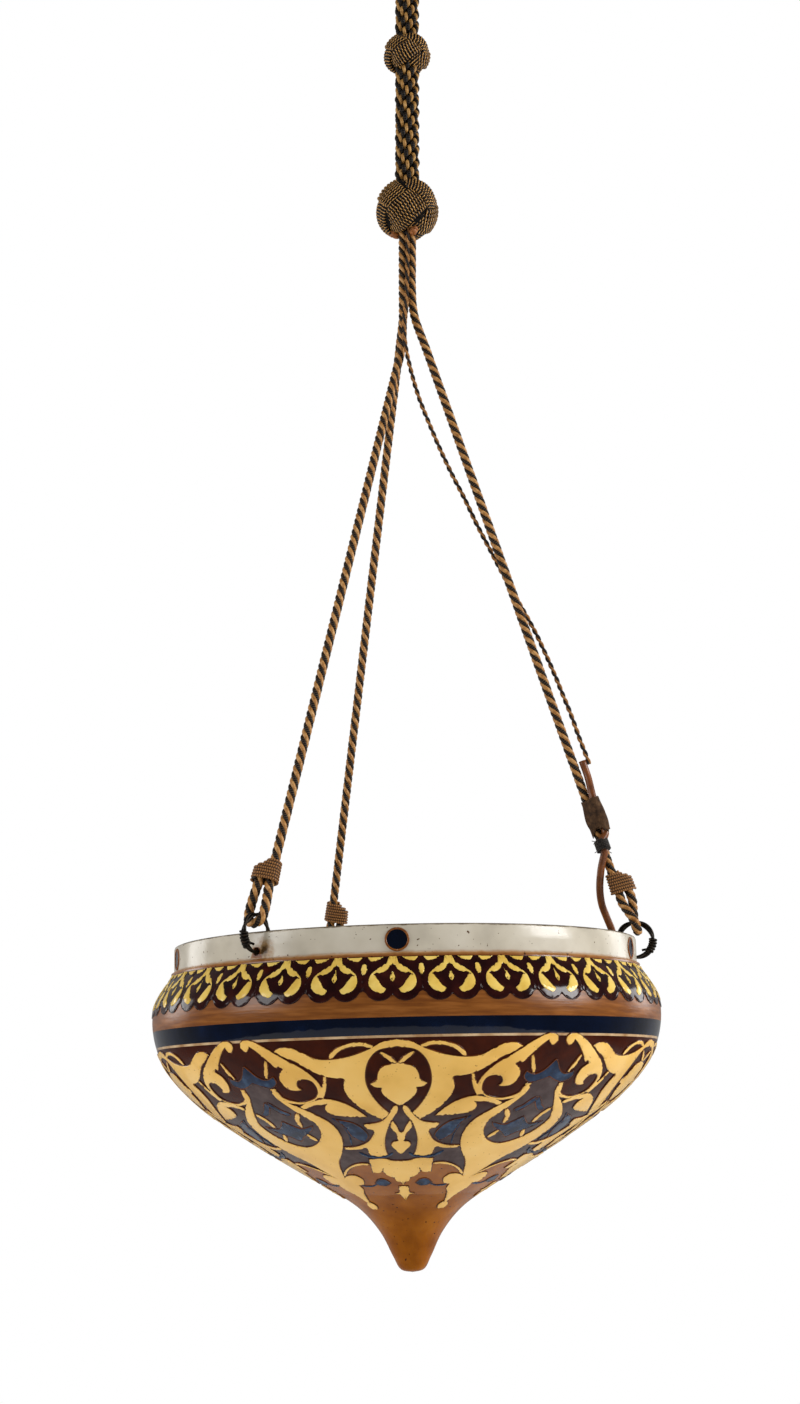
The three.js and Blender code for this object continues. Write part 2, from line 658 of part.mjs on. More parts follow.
// Tray: a disc whose edge seats on the bowl's inner wall and carries the lampholder
const trayTop = trayHeight + trayThickness;
const trayGap = 2 * fit;
addPiece(bowlFrame, 'holder_tray', turned([
  [nippleRadius + fit, trayHeight], [innerRadiusAt(trayHeight) - trayGap, trayHeight],
  [innerRadiusAt(trayTop) - trayGap, trayTop], [nippleRadius + fit, trayTop],
], 40), 0x6b4a2c, 0.6);
const capFloor = holderBase + holderWall;
addPiece(bowlFrame, 'holder_nipple', turned([
  [nippleBore, trayHeight - nippleTail], [nippleRadius, trayHeight - nippleTail],
  [nippleRadius, capFloor + nippleReach], [nippleBore, capFloor + nippleReach],
], 16), 0x9a7a44, 0.4, 0.85);
const locknut = nut(locknutAcross, locknutHeight, nippleRadius + fit);
addPiece(bowlFrame, 'holder_locknut', locknut, 0x9a7a44, 0.4, 0.85)
  .position.z = trayHeight - fit - locknutHeight;

// Holder cap: a cup over the nipple with a ledge for the insert and a hole for the cable
const capTop = holderBase + holderCapHeight;
const insertBase = capTop - insertHeight;
const innerHolder = holderRadius - holderWall;
const lipRadius = innerHolder - holderWall;
const insertRadius = innerHolder - fit;
const cableHole = new THREE.CylinderGeometry(cableRadius + fit, cableRadius + fit, 6 * holderWall, 12)
  .rotateZ(Math.PI / 2).translate(innerHolder, 0, entryHeight);
addPiece(bowlFrame, 'holder_cap', cut(turned([
  [nippleRadius + fit, holderBase], [holderRadius - holderEdge, holderBase],
  [holderRadius, holderBase + holderEdge], [holderRadius, capTop], [innerHolder, capTop],
  [innerHolder, insertBase - fit], [lipRadius, insertBase - fit - holderWall], [lipRadius, capFloor],
  [nippleRadius + fit, capFloor],
], 28), cableHole), 0x1d1a18, 0.35);
addPiece(bowlFrame, 'holder_insert', turned([
  [0, insertBase], [insertRadius, insertBase], [insertRadius, capTop], [0, capTop],
], 24), 0xe8e2d4, 0.3);
const skirtBase = capTop + fit;
const skirtTop = skirtBase + skirtHeight;
addPiece(bowlFrame, 'holder_skirt', turned([
  [innerHolder, skirtBase], [holderRadius, skirtBase], [holderRadius, skirtTop], [lipRadius, skirtTop],
  [lipRadius, skirtTop - skirtLip + holderWall], [innerHolder, skirtTop - skirtLip],
], 28), 0x1d1a18, 0.35);
addPiece(bowlFrame, 'thread_sleeve', turned([
  [sleeveRadius, skirtBase], [sleeveRadius + sleeveWall, skirtBase],
  [sleeveRadius + sleeveWall, skirtBase + sleeveHeight], [sleeveRadius, skirtBase + sleeveHeight],
], 28), 0xb08d4a, 0.35, 0.9);
addPiece(bowlFrame, 'centre_contact', turned([
  [0, skirtBase], [contactRadius, skirtBase], [0.75 * contactRadius, skirtBase + contactHeight],
  [0, skirtBase + contactHeight],
], 14), 0xb08d4a, 0.35, 0.9);

// Bulb: contact pip, insulator, screw cap and opal glass
const pipBase = skirtBase + contactHeight + fit;
const insulatorBase = pipBase + bulbPipHeight + fit;
const bulbCapBase = insulatorBase + bulbInsulatorHeight + fit;
const bulbCapTop = bulbCapBase + bulbCapHeight;
const neckRadius = bulbCapRadius - bulbCapWall - fit;
const pipTop = pipBase + bulbPipHeight;
const insulatorTop = insulatorBase + bulbInsulatorHeight;
const pipTopRadius = contactRadius * 1.15;
addPiece(bowlFrame, 'bulb_contact', turned([
  [0, pipBase], [contactRadius, pipBase], [pipTopRadius, pipTop], [0, pipTop],
], 14), 0xb0aca0, 0.35, 0.9);
addPiece(bowlFrame, 'bulb_insulator', turned([
  [0, insulatorBase], [pipTopRadius, insulatorBase], [neckRadius, insulatorTop], [0, insulatorTop],
], 20), 0x18181a, 0.2);
addPiece(bowlFrame, 'bulb_cap', turned([
  [bulbCapRadius - bulbCapWall, bulbCapBase], [bulbCapRadius, bulbCapBase],
  [bulbCapRadius, bulbCapTop], [bulbCapRadius - bulbCapWall, bulbCapTop],
], 28), 0xb08d4a, 0.35, 0.9);

// Glass outline from the neck inside the cap up over the globe
const globeTop = bulbCapBase + bulbGlassHeight;
const globeCentre = globeTop - bulbRadius;
const glassOuter = [[neckRadius, bulbCapTop - bulbNeckDepth], [neckRadius, bulbCapTop + 2 * bulbGlassWall]];
for (let degrees = -40; degrees <= 90; degrees += 26) {
  const angle = THREE.MathUtils.degToRad(degrees);
  glassOuter.push([bulbRadius * Math.cos(angle), globeCentre + bulbRadius * Math.sin(angle)]);
}
glassOuter[glassOuter.length - 1] = [0, globeTop];
const shrink = (bulbRadius - bulbGlassWall) / bulbRadius;
const glassInner = glassOuter.map(([r, z], i) => (
  i < 2 ? [r - bulbGlassWall, z] : [r * shrink, globeCentre + (z - globeCentre) * shrink]
)).toReversed();
addPiece(bowlFrame, 'bulb_glass', turned([...glassOuter, ...glassInner], 18), 0xf2efe6, 0.25);

export default lamp;
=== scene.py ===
import random
from collections import namedtuple
from itertools import accumulate
from math import asin, ceil, cos, hypot, pi, radians, sin, sqrt

import bmesh
import bpy
from mathutils import Matrix, Vector


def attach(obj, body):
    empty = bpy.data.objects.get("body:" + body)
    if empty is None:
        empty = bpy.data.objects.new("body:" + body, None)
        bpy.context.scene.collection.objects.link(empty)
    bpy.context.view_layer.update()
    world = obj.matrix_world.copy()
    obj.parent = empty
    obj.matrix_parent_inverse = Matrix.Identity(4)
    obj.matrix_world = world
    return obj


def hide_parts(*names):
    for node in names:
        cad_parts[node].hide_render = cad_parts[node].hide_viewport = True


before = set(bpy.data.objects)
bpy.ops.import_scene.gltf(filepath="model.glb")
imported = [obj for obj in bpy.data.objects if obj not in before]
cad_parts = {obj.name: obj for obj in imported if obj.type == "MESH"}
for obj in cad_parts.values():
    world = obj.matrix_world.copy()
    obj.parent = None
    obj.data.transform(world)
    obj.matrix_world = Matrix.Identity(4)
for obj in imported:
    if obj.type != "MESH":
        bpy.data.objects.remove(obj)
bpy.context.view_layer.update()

random.seed(7)

# Sizes in millimetres, as the solids have them; a piece is brought to metres when it is made
METRE = 0.001
FIT = 0.35
ROPE_TOP = -110.65
BALL_CENTRE = -319.65
TIP = -1075.65
COLLAR_CENTRE = ROPE_TOP - 81
STRAND_RING = 6.5
CORD_DIAMETER = 6.4
CORD_RADIUS = CORD_DIAMETER / 2
CORD_RING = (CORD_DIAMETER + FIT) / sqrt(3)
FLEX_DIAMETER = 3.5
FLEX_APART = CORD_RADIUS + FLEX_DIAMETER / 2 + FIT
FLEX_SLOT = CORD_RING / 2 + sqrt(FLEX_APART ** 2 - 0.75 * CORD_RING ** 2)
CABLE_DIAMETER = 5
CABLE_RADIUS = CABLE_DIAMETER / 2
GROOVE = 192.4
RIM_FOOT = (157.4, 194.6)
RIM_RADIUS = 155.4
RIM_HEIGHT = 212.2
BOWL_WALL = 6
INNER_RIM = RIM_RADIUS - BOWL_WALL
RIM_HOLE_HEIGHT = 200
RIM_HOLE_RADIUS = 2.6
RING_RADIUS = 11.5
RING_RISE = sqrt(RING_RADIUS ** 2 - 3 ** 2)
LOOP_RADIUS = 5.9
LOOP_HEIGHT = 22
LEG_OFFSET = CORD_RADIUS + FIT / 2
WHIPPING_HEIGHT = 1.79 * 8
WHIPPING_TAPER = 0.45
WHIPPING_TURNS = 7
# Pitch of the ribs of each wound thread
KNOT_RIB, FINE_RIB, CORD_RIB = 2.2, 1.4, 1.3

# The cords' places: name, azimuth on the rim, side of the leg that goes back up, azimuth in the
# bundle below the ball, height above the tip at which the cord leaves it
STATIONS = (
    ("left", -36, -1, -60, 649),
    ("right", 84, 1, 60, 676),
    ("back", 200.5, 1, 180, 700),
)

# The bowl leans as one with what it holds, about a point on its axis
LEAN, LEAN_HEIGHT = radians(-1.3), 125
BOWL = (
    Matrix.Translation((0, 0, TIP + LEAN_HEIGHT)) @ Matrix.Rotation(LEAN, 4, "Y")
    @ Matrix.Translation((0, 0, -LEAN_HEIGHT))
)


def placed(name, data):
    """A new object in the scene."""
    made = bpy.data.objects.new(name, data)
    bpy.context.scene.collection.objects.link(made)
    return made


# Camera: 106 mm above the bowl's tip, 1.24 m in front of it, looking up as in the photograph
camera = placed("camera", bpy.data.cameras.new("camera"))
camera.location = (-0.0054, -1.243, -0.96965)
camera.rotation_euler = (radians(102.5), 0, 0)
camera.data.sensor_fit = "VERTICAL"
camera.data.sensor_height = 36
camera.data.lens = 46.72
bpy.context.scene.camera = camera


# Lines, tubes and turned shapes


def eased(share):
    """From 0 to 1, slow at both ends."""
    share = min(max(share, 0), 1)
    return share * share * (3 - 2 * share)


def from_front(radius, turn, height):
    """Point at a radius and a height, turned about the upright axis from the front."""
    return Vector((radius * sin(turn), -radius * cos(turn), height))


def turned_bowl(azimuth):
    """The bowl's place, turned about its own axis by degrees."""
    return BOWL @ Matrix.Rotation(radians(azimuth), 4, "Z")


def smoothed(points, step, corners=()):
    """A smooth line through the points, with a sharp turn at each corner."""
    points = [Vector((*p, 0)) if len(p) == 2 else Vector(p) for p in points]
    ends = {0, len(points) - 1, *corners}
    line = [points[0]]
    for i in range(len(points) - 1):
        b, c = points[i], points[i + 1]
        a = 2 * b - c if i in ends else points[i - 1]
        d = 2 * c - b if i + 1 in ends else points[i + 2]
        s, t, u = (max(sqrt((q - p).length), 1e-3) for p, q in ((a, b), (b, c), (c, d)))
        leaving = ((b - a) / s - (c - a) / (s + t) + (c - b) / t) * t
        arriving = ((c - b) / t - (d - b) / (t + u) + (d - c) / u) * t
        count = max(1, ceil((c - b).length / step))
        for k in range(1, count + 1):
            w = k / count
            line.append(
                b * (2 * w ** 3 - 3 * w ** 2 + 1) + leaving * (w ** 3 - 2 * w ** 2 + w)
                + c * (3 * w ** 2 - 2 * w ** 3) + arriving * (w ** 3 - w ** 2)
            )
    return line


def distances(line):
    """How far along a line each of its points is."""
    return list(accumulate(((b - a).length for a, b in zip(line, line[1:])), initial=0))


def evenly(line, step):
    """The same line with its points a step apart."""
    gone = distances(line)
    count = max(1, round(gone[-1] / step))
    found, i = [], 0
    for k in range(count + 1):
        want = gone[-1] * k / count
        while i < len(line) - 2 and gone[i + 1] < want:
            i += 1
        share = (want - gone[i]) / max(gone[i + 1] - gone[i], 1e-9)
        found.append(line[i].lerp(line[i + 1], share))
    return found


def turning(line, side=Vector((0, -1, 0))):
    """Direction, side and depth at each point of a line, turning as little as they can."""
    found = []
    for i in range(len(line)):
        ahead = (line[min(i + 1, len(line) - 1)] - line[max(i - 1, 0)]).normalized()
        side = (side - ahead * side.dot(ahead)).normalized()
        found.append((ahead, side, ahead.cross(side)))
    return found


def laid(line, offset, pitch, start, hand=-1):
    """The way of one strand laid round a line, a full turn in each pitch."""
    found = []
    for i, (point, (_, side, depth)) in enumerate(zip(line, turning(line))):
        if i:
            start += hand * 2 * pi * (point - line[i - 1]).length / pitch
        found.append(point + (side * cos(start) + depth * sin(start)) * offset)
    return found


def beads(pitch, depth):
    """Ribs of a wound thread, one in each pitch, as shares of its radius."""
    return lambda gone, whole: 1 + depth * cos(2 * pi * gone / pitch)


def mesh_of(shape, name, scale=METRE):
    """The mesh of a finished bmesh."""
    bmesh.ops.scale(shape, vec=(scale,) * 3, verts=shape.verts)
    mesh = bpy.data.meshes.new(name)
    shape.to_mesh(mesh)
    shape.free()
    return mesh


def mesh_as_seen(thing):
    """The mesh that an object's curve or modifiers make."""
    seen = thing.evaluated_get(bpy.context.evaluated_depsgraph_get())
    return bpy.data.meshes.new_from_object(seen)


def piece(name, shape, materials, stands_for=(), body="pendant", sharp=40):
    """A finished piece, of a mesh in metres or a bmesh in millimetres."""
    mesh = mesh_of(shape, name) if isinstance(shape, bmesh.types.BMesh) else shape
    for i, material in enumerate(materials):
        if i < len(mesh.materials):
            mesh.materials[i] = material
        else:
            mesh.materials.append(material)
    mesh.polygons.foreach_set("use_smooth", [True] * len(mesh.polygons))
    if sharp:
        mesh.set_sharp_from_angle(angle=radians(sharp))
    made = placed(name, mesh)
    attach(made, body)
    if stands_for:
        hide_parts(*stands_for)
    return made


def wires(
    name, lines, radius, sides, materials, stands_for=(), body="pendant", sharp=None,
    numbers=None, swell=None, closed=False,
):
    """A piece of round wires along lines; its attribute along is the distance on each in mm.
    numbers gives each line's material, and swell the share of the radius at a distance."""
    curve = bpy.data.curves.new(name, "CURVE")
    curve.dimensions = "3D"
    curve.bevel_depth = radius * METRE
    curve.bevel_resolution = (sides - 4) // 2
    along, chosen = [], []
    for line, number in zip(lines, numbers or [0] * len(lines)):
        spline = curve.splines.new("POLY")
        spline.points.add(len(line) - 1)
        spline.points.foreach_set("co", [c for p in line for c in (*(p * METRE), 1)])
        spline.use_cyclic_u = closed
        spline.use_smooth = True
        gone = distances(line)
        if swell:
            spline.points.foreach_set("radius", [swell(g, gone[-1]) for g in gone])
        along += [g for g in gone for _ in range(sides)]
        chosen += [number] * (len(line) - (not closed)) * sides
    holder = placed(name, curve)
    mesh = mesh_as_seen(holder)
    bpy.data.objects.remove(holder)
    mesh.attributes.new("along", "FLOAT", "POINT").data.foreach_set("value", along)
    mesh.polygons.foreach_set("material_index", chosen)
    if not closed:
        shape = bmesh.new()
        shape.from_mesh(mesh)
        open_edges = [edge for edge in shape.edges if edge.is_boundary]
        for cap in bmesh.ops.holes_fill(shape, edges=open_edges, sides=sides)["faces"]:
            cap.material_index = cap.edges[0].link_faces[0].material_index
        shape.to_mesh(mesh)
        shape.free()
    return piece(name, mesh, materials, stands_for, body, sharp)


def as_cord(route):
    """The length of a cord's drawn way in metres, rounded; the value is not kept."""
    round(distances(route)[-1] * METRE, 3)


def spun(outline, turns=96, place=Matrix(), closed=True, marks=None):
    """A piece turned round the upright axis from its outline of radii and heights.
    marks, one number for each outline point, is kept on the mesh as the attribute down."""
    shape = bmesh.new()
    down = shape.verts.layers.float.new("down")
    points = [shape.verts.new((r, 0, z)) for r, z in outline]
    for point, mark in zip(points, marks or [0] * len(points)):
        point[down] = mark
    pairs = list(zip(points, points[1:] + points[:1] if closed else points[1:]))
    edges = [shape.edges.new(pair) for pair in pairs]
    bmesh.ops.spin(
        shape, geom=points + edges, cent=(0, 0, 0), axis=(0, 0, 1), angle=2 * pi,
        steps=turns, use_merge=True,
    )
    bmesh.ops.remove_doubles(shape, verts=shape.verts, dist=1e-4)
    bmesh.ops.recalc_face_normals(shape, faces=shape.faces)
    bmesh.ops.transform(shape, matrix=place, verts=shape.verts)
    return shape


def rod(radius, length, sides, place):
    """A plain rod about its place's own upright axis."""
    shape = bmesh.new()
    bmesh.ops.create_cone(
        shape, cap_ends=True, segments=sides, radius1=radius, radius2=radius, depth=length,
        matrix=place,
    )
    return shape


def cut_away(target, shape):
    """Cuts a shape in mm out of a piece."""
    cutter = placed("cutter", mesh_of(shape, "cutter"))
    target.modifiers.new("cut", "BOOLEAN").object = cutter
    bpy.context.view_layer.update()
    cut = mesh_as_seen(target)
    target.modifiers.clear()
    target.data = cut
    bpy.data.objects.remove(cutter)


# Materials


def linear_colour(code):
    """A linear colour from its sRGB hex value."""
    parts = [int(code[i:i + 2], 16) / 255 for i in (1, 3, 5)]
    return (*(c / 12.92 if c <= 0.04045 else ((c + 0.055) / 1.055) ** 2.4 for c in parts), 1)


def add(tree, kind, links=(), stops=(), **settings):
    """Adds a node with its settings, its values or links by socket, and a ramp's stops."""
    node = tree.nodes.new("ShaderNode" + kind)
    for key, value in settings.items():
        setattr(node, key, value)
    for key, value in dict(links).items():
        if isinstance(value, bpy.types.NodeSocket):
            tree.links.new(value, node.inputs[key])
        else:
            plain = linear_colour(value) if isinstance(value, str) else value
            node.inputs[key].default_value = plain
    for i, (place, code) in enumerate(stops):
        ramp = node.color_ramp.elements
        stop = ramp[i] if i < 2 else ramp.new(place)
        stop.position, stop.color = place, linear_colour(code)
    return node.outputs


def finish_of(name, colour, bump=None, **values):
    """A material on the standard shader. Its colour is a hex value or a function of its node
    tree, and bump is a function that gives a height and its distance in mm."""
    material = bpy.data.materials.new(name)
    material.use_nodes = True
    tree = material.node_tree
    shader = tree.nodes["Principled BSDF"]
    for key, value in values.items():
        shader.inputs[key.replace("_", " ")].default_value = value
    if isinstance(colour, str):
        shader.inputs["Base Color"].default_value = linear_colour(colour)
    else:
        tree.links.new(colour(tree), shader.inputs["Base Color"])
    if bump:
        height, distance = bump(tree)
        made = add(tree, "Bump", {"Height": height, "Distance": distance * METRE, "Strength": 1})
        tree.links.new(made[0], shader.inputs["Normal"])
    return material


def grain(tree, size, detail=2, stretch=(1, 1, 1)):
    """Noise whose marks are about that many millimetres across, from 0 to 1."""
    place = add(tree, "TexCoord")["Object"]
    spread = add(tree, "Mapping", {"Vector": place, "Scale": stretch})[0]
    return add(tree, "TexNoise", {
        "Vector": spread, "Scale": 1 / (2 * size * METRE), "Detail": detail, "Roughness": 0.5,
    })[0]


def mottled(*stops, size=6, detail=3, **more):
    """Colour that drifts between the stops in soft patches."""
    return lambda tree: add(tree, "ValToRGB", {0: grain(tree, size, detail, **more)}, stops)[0]


def glaze(name, *stops, size=9, gloss=0.1, colour=None, level=0.3):
    """Coloured lead glaze, fired on earthenware: mottled, wet looking, faintly wavy."""
    return finish_of(
        name, colour or mottled(*stops, size=size, detail=4), lambda tree: (grain(tree, 7), 0.2),
        Roughness=gloss, IOR=1.5, Specular_IOR_Level=level,
    )


def patchy(name, *stops, size, gloss, bump=None, stretch=(1, 1, 1), level=0.5, **values):
    """A finish whose colour drifts between the stops in patches of that many mm."""
    return finish_of(
        name, mottled(*stops, size=size, stretch=stretch), bump,
        Roughness=gloss, Specular_IOR_Level=level, **values,
    )


# Settings of nodes: a mix of two colours, a mix that lays the second colour over the first as a
# stain, and a number that is scaled and moved
BLEND = {"data_type": "RGBA"}
STAIN = {"data_type": "RGBA", "blend_type": "MULTIPLY"}
SCALED = {"operation": "MULTIPLY_ADD"}


def pitted(colour, code, size=1.1, share=0.24):
    """The colour with small dark pits of burst bubbles."""
    def worked(tree):
        stops = ((share, code), (share + 0.04, "#FFFFFF"))
        pits = add(tree, "ValToRGB", {0: grain(tree, size, 1)}, stops)[0]
        return add(tree, "Mix", {0: 1.0, 6: colour(tree), 7: pits}, **STAIN)[2]
    return worked


def drifting(tree, size, reach):
    """mm down from the groove, blurred by up to reach in patches of a size."""
    down = add(tree, "Attribute", attribute_name="down")["Fac"]
    drift = add(tree, "Math", {0: grain(tree, size, 3), 1: 2 * reach, 2: -reach}, **SCALED)[0]
    return add(tree, "Math", {0: down, 1: drift}, operation="ADD")[0]


def white_colour(tree):
    """Off-white, worn brown at the top edge, orange at the rim's foot, rusty round the holes."""
    base = mottled((0.3, "#B3AA99"), (0.52, "#C6BDAB"), (0.75, "#D2CABA"), size=14)
    base = pitted(base, "#6A4A30")(tree)
    share = add(tree, "MapRange", {0: drifting(tree, 3, 0.9), 1: -20.0, 2: 0.0})[0]
    stains = [add(tree, "ValToRGB", {0: share}, (
        (0.0, "#5A4A38"), (0.035, "#8C7F6C"), (0.07, "#FFFFFF"), (0.8, "#FFFFFF"),
        (0.88, "#D9A26A"), (0.95, "#A86A35"),
    ))[0]]
    place = add(tree, "TexCoord")["Object"]
    # Rust runs a little to one side of each hole, so many mm far
    for azimuth, reach in ((-34, 15), (87, 9), (203, 12)):
        hole = turned_bowl(azimuth) @ Vector((0, -RIM_RADIUS, RIM_HOLE_HEIGHT))
        apart = add(tree, "VectorMath", {0: place, 1: hole * METRE}, operation="DISTANCE")["Value"]
        near = add(tree, "MapRange", {0: apart, 1: reach * METRE, 2: 2 * METRE})[0]
        near = add(tree, "Math", {0: near, 1: grain(tree, 2.2, 4)}, operation="MULTIPLY")[0]
        stops = ((0.2, "#FFFFFF"), (0.4, "#D0AE84"), (0.62, "#6E5436"))
        stains.append(add(tree, "ValToRGB", {0: near}, stops)[0])
    for stain in stains:
        base = add(tree, "Mix", {0: 1.0, 6: base, 7: stain}, **STAIN)[2]
    return base


# White tin glaze, fired: cool off-white, worn brown at the top edge, a few pinholes
white_glaze = glaze("tin_glaze_white", colour=white_colour, gloss=0.2, level=0.35)
# Cream slip glaze, fired: warm butter yellow in soft patches, with brown pinholes
cream_glaze = glaze("cream_slip_glaze", colour=pitted(
    mottled((0.3, "#E0AD50"), (0.5, "#EEBD60"), (0.72, "#F4C872"), size=16), "#9A6430", 0.8, 0.22,
))
# Lemon slip glaze of the border, fired: a more lemon cream than the leaves below it
lemon_glaze = glaze(
    "lemon_slip_glaze", (0.3, "#D6AE4C"), (0.5, "#E6C25E"), (0.7, "#EECF72"), size=6,
)
# Manganese glaze, fired: almost black oxblood, browner where it is thin
manganese_glaze = glaze(
    "manganese_glaze", (0.35, "#1C0607"), (0.55, "#280B0A"), (0.75, "#3C160F"),
    size=5, gloss=0.12, level=0.22,
)
# Iron glaze, trailed: a dark red brown line round each leaf
line_glaze = glaze("iron_line_glaze", (0.35, "#3A1A0C"), (0.7, "#6A3412"), size=4, level=0.2)
# Cobalt glaze, fired: deep navy, very glossy
cobalt_glaze = glaze(
    "cobalt_glaze", (0.35, "#030817"), (0.6, "#050F24"), (0.8, "#0A1B3A"), size=12, gloss=0.06,
)
# Smoky cobalt glaze, fired: blue grey with paler pools
smoke_glaze = glaze(
    "smoke_blue_glaze", (0.32, "#0F1B31"), (0.55, "#1B2E4A"), (0.78, "#38526E"),
    size=3, level=0.15,
)
# Iron glaze, brushed: a ginger brown band with fine marks of the brush along the turning
tan_glaze = patchy(
    "iron_brushed_glaze", (0.3, "#6C3A10"), (0.5, "#7E4816"), (0.72, "#945A24"),
    size=3, stretch=(0.3, 0.3, 3.2), gloss=0.28, IOR=1.5, level=0.3,
    bump=lambda tree: (grain(tree, 2, 3, stretch=(0.3, 0.3, 4)), 0.1),
)
# Buff glaze, trailed: a pale line below the blue band
pale_line_glaze = glaze("buff_line_glaze", (0.35, "#A27A50"), (0.7, "#D2B48C"), size=5)
# Tin glaze inside, fired: thin creamy white over the clay
inner_glaze = glaze(
    "tin_glaze_inside", (0.3, "#C4BCAA"), (0.55, "#D6CFBF"), (0.8, "#E0DACB"), size=16,
)
# Mauve glaze of cobalt over manganese, fired: a dull, smoky grey brown
MAUVE = ((0.3, "#3A2B2B"), (0.55, "#4A3B3B"), (0.8, "#594A48"))
mauve_glaze = glaze("mauve_glaze", *MAUVE, size=4, level=0.12)
# Ochre glaze, fired: honey brown, satin, with dark pinholes
OCHRE = pitted(
    mottled((0.25, "#7A4002"), (0.5, "#8F5008"), (0.78, "#A06014"), size=7), "#4A2A10", 1.2,
)
ochre_glaze = glaze("ochre_glaze", colour=OCHRE, gloss=0.26, level=0.2)


def ground_colour(tree):
    """Dark brown below the blue band, mauve lower down and ochre towards the tip."""
    place = drifting(tree, 9, 12.0)
    smoky = add(tree, "MapRange", {0: place, 1: 92.0, 2: 118.0})[0]
    warm = add(tree, "MapRange", {0: place, 1: 178.0, 2: 186.0})[0]
    brown = mottled((0.3, "#2B0700"), (0.7, "#401300"), size=6)(tree)
    base = add(tree, "Mix", {0: smoky, 6: brown, 7: mottled(*MAUVE, size=4)(tree)}, **BLEND)[2]
    return add(tree, "Mix", {0: warm, 6: base, 7: OCHRE(tree)}, **BLEND)[2]


# Ground glaze between the leaves, fired: one wash that changes from manganese to ochre
ground_glaze = glaze("ground_glaze", colour=ground_colour, gloss=0.2, level=0.08)


def along_wave(tree, pitch):
    """Ribs across a thread, from 0 in the valleys to 1 on the ridges."""
    gone = add(tree, "Attribute", attribute_name="along")["Fac"]
    turn = add(tree, "Math", {0: gone, 1: 2 * pi / pitch}, operation="MULTIPLY")[0]
    wave = add(tree, "Math", {0: turn}, operation="COSINE")[0]
    return add(tree, "Math", {0: wave, 1: 0.5, 2: 0.5}, **SCALED)[0]


def gimp(name, pitch, *stops, rise=0.15, gloss=0.6):
    """Wound silk thread, worn unevenly, with painted shade in the valleys and a painted highlight
    on the ridges. The ribs rise by that many mm, or not at all where the piece's own shape has
    them."""
    def colour(tree):
        worn = add(tree, "Math", {0: grain(tree, 1.6), 1: 0.35, 2: -0.175}, **SCALED)[0]
        # Along each rib: a painted highlight on the ridge and painted shade in the valley, shifted
        # by random wear
        place = add(tree, "Math", {0: along_wave(tree, pitch), 1: worn}, operation="ADD")[0]
        return add(tree, "ValToRGB", {0: place}, stops)[0]
    return finish_of(
        name, colour, rise and (lambda tree: (along_wave(tree, pitch), rise)),
        Roughness=gloss, Specular_IOR_Level=0.3,
    )


# Bronze gimp of the knots, wound silk on a cotton core: dark brown, with a painted highlight on the
# ridges and near black painted shade in the valleys.
# The real ribs, 1.4 mm apart, are drawn 2.2 mm apart, so that they show
gimp_bronze = gimp(
    "bronze_gimp", KNOT_RIB, (0.56, "#080200"), (0.86, "#3A1D05"), (1.05, "#E0A95C"),
    rise=0, gloss=0.42,
)
# Bronze gimp of the whippings, wound silk, finer: red brown, with a faint painted highlight on the
# ridges and painted shade between them
gimp_fine = gimp(
    "fine_bronze_gimp", FINE_RIB, (0.0, "#5E3A1C"), (0.6, "#7E5229"), (1.0, "#AD7B46"),
    rise=0.1, gloss=0.5,
)
# Black gimp of the rope, wound silk: soft black with a painted highlight on each rib and painted
# shade between
gimp_dark = gimp("black_gimp", CORD_RIB, (0.3, "#060302"), (0.8, "#100A05"), (1.0, "#32261A"))
# Brown gimp of the cords, wound silk: brown black, with a warm painted highlight on each rib and
# painted shade between
gimp_brown = gimp("brown_gimp", CORD_RIB, (0.3, "#0D0804"), (0.8, "#20160D"), (1.0, "#503B27"))
# Gold silk floss of the rope, twisted: honey gold, smooth and soft shining
silk_gold = patchy(
    "gold_silk", (0.25, "#7E5829"), (0.5, "#AA7D40"), (0.78, "#CCA465"),
    size=1.2, gloss=0.45, level=0.3,
)
# Copper silk floss of the cords, twisted: worn copper gold, soft shining
silk_copper = patchy(
    "copper_silk", (0.25, "#80501F"), (0.5, "#B07C42"), (0.78, "#D2A66C"),
    size=1.2, gloss=0.45, level=0.3,
)
# Rust silk floss of the tucks, twisted: orange gold, soft shining
silk_rust = patchy("rust_silk", (0.3, "#6E3C10"), (0.7, "#A8642A"), size=1.2, gloss=0.5)
# Black cotton braid of the flex, woven: brown black and dry, without a shine
flex_dark = patchy("black_cotton_braid", (0.3, "#15110F"), (0.7, "#2B211B"), size=0.8, gloss=0.85)
# Rust cotton braid of the flex, woven: rust gold and dry, a thin light line on the dark one
flex_gold = patchy("rust_cotton_braid", (0.3, "#7A4E24"), (0.7, "#B07A3C"), size=0.8, gloss=0.8)
# Natural rubber, extruded and aged: orange brown, satin
rubber = patchy(
    "natural_rubber", (0.3, "#5E300F"), (0.6, "#804618"), (0.85, "#9A5A22"), size=4, gloss=0.38,
)
# Annealed iron wire, drawn and blackened: dull black with rust specks
iron_wire = patchy(
    "annealed_iron_wire", (0.4, "#2A2724"), (0.62, "#3A352F"), (0.8, "#5C3A24"),
    size=1, gloss=0.5, Metallic=1.0,
)
# Friction tape, woven cotton with tar: dark brown, dry
cloth_tape = patchy(
    "friction_tape", (0.3, "#33241A"), (0.6, "#543C28"), (0.85, "#6E553C"),
    size=1.5, gloss=0.9, level=0.2, bump=lambda tree: (grain(tree, 0.5, 3), 0.2),
)
# Cotton core thread, twisted, dyed black brown and made darker still as painted shade in the gaps
# of the weave
core_cotton_gap_shade = patchy(
    "black_brown_cotton", (0.3, "#070403"), (0.7, "#120B07"), size=0.8, gloss=0.9, level=0.2,
)
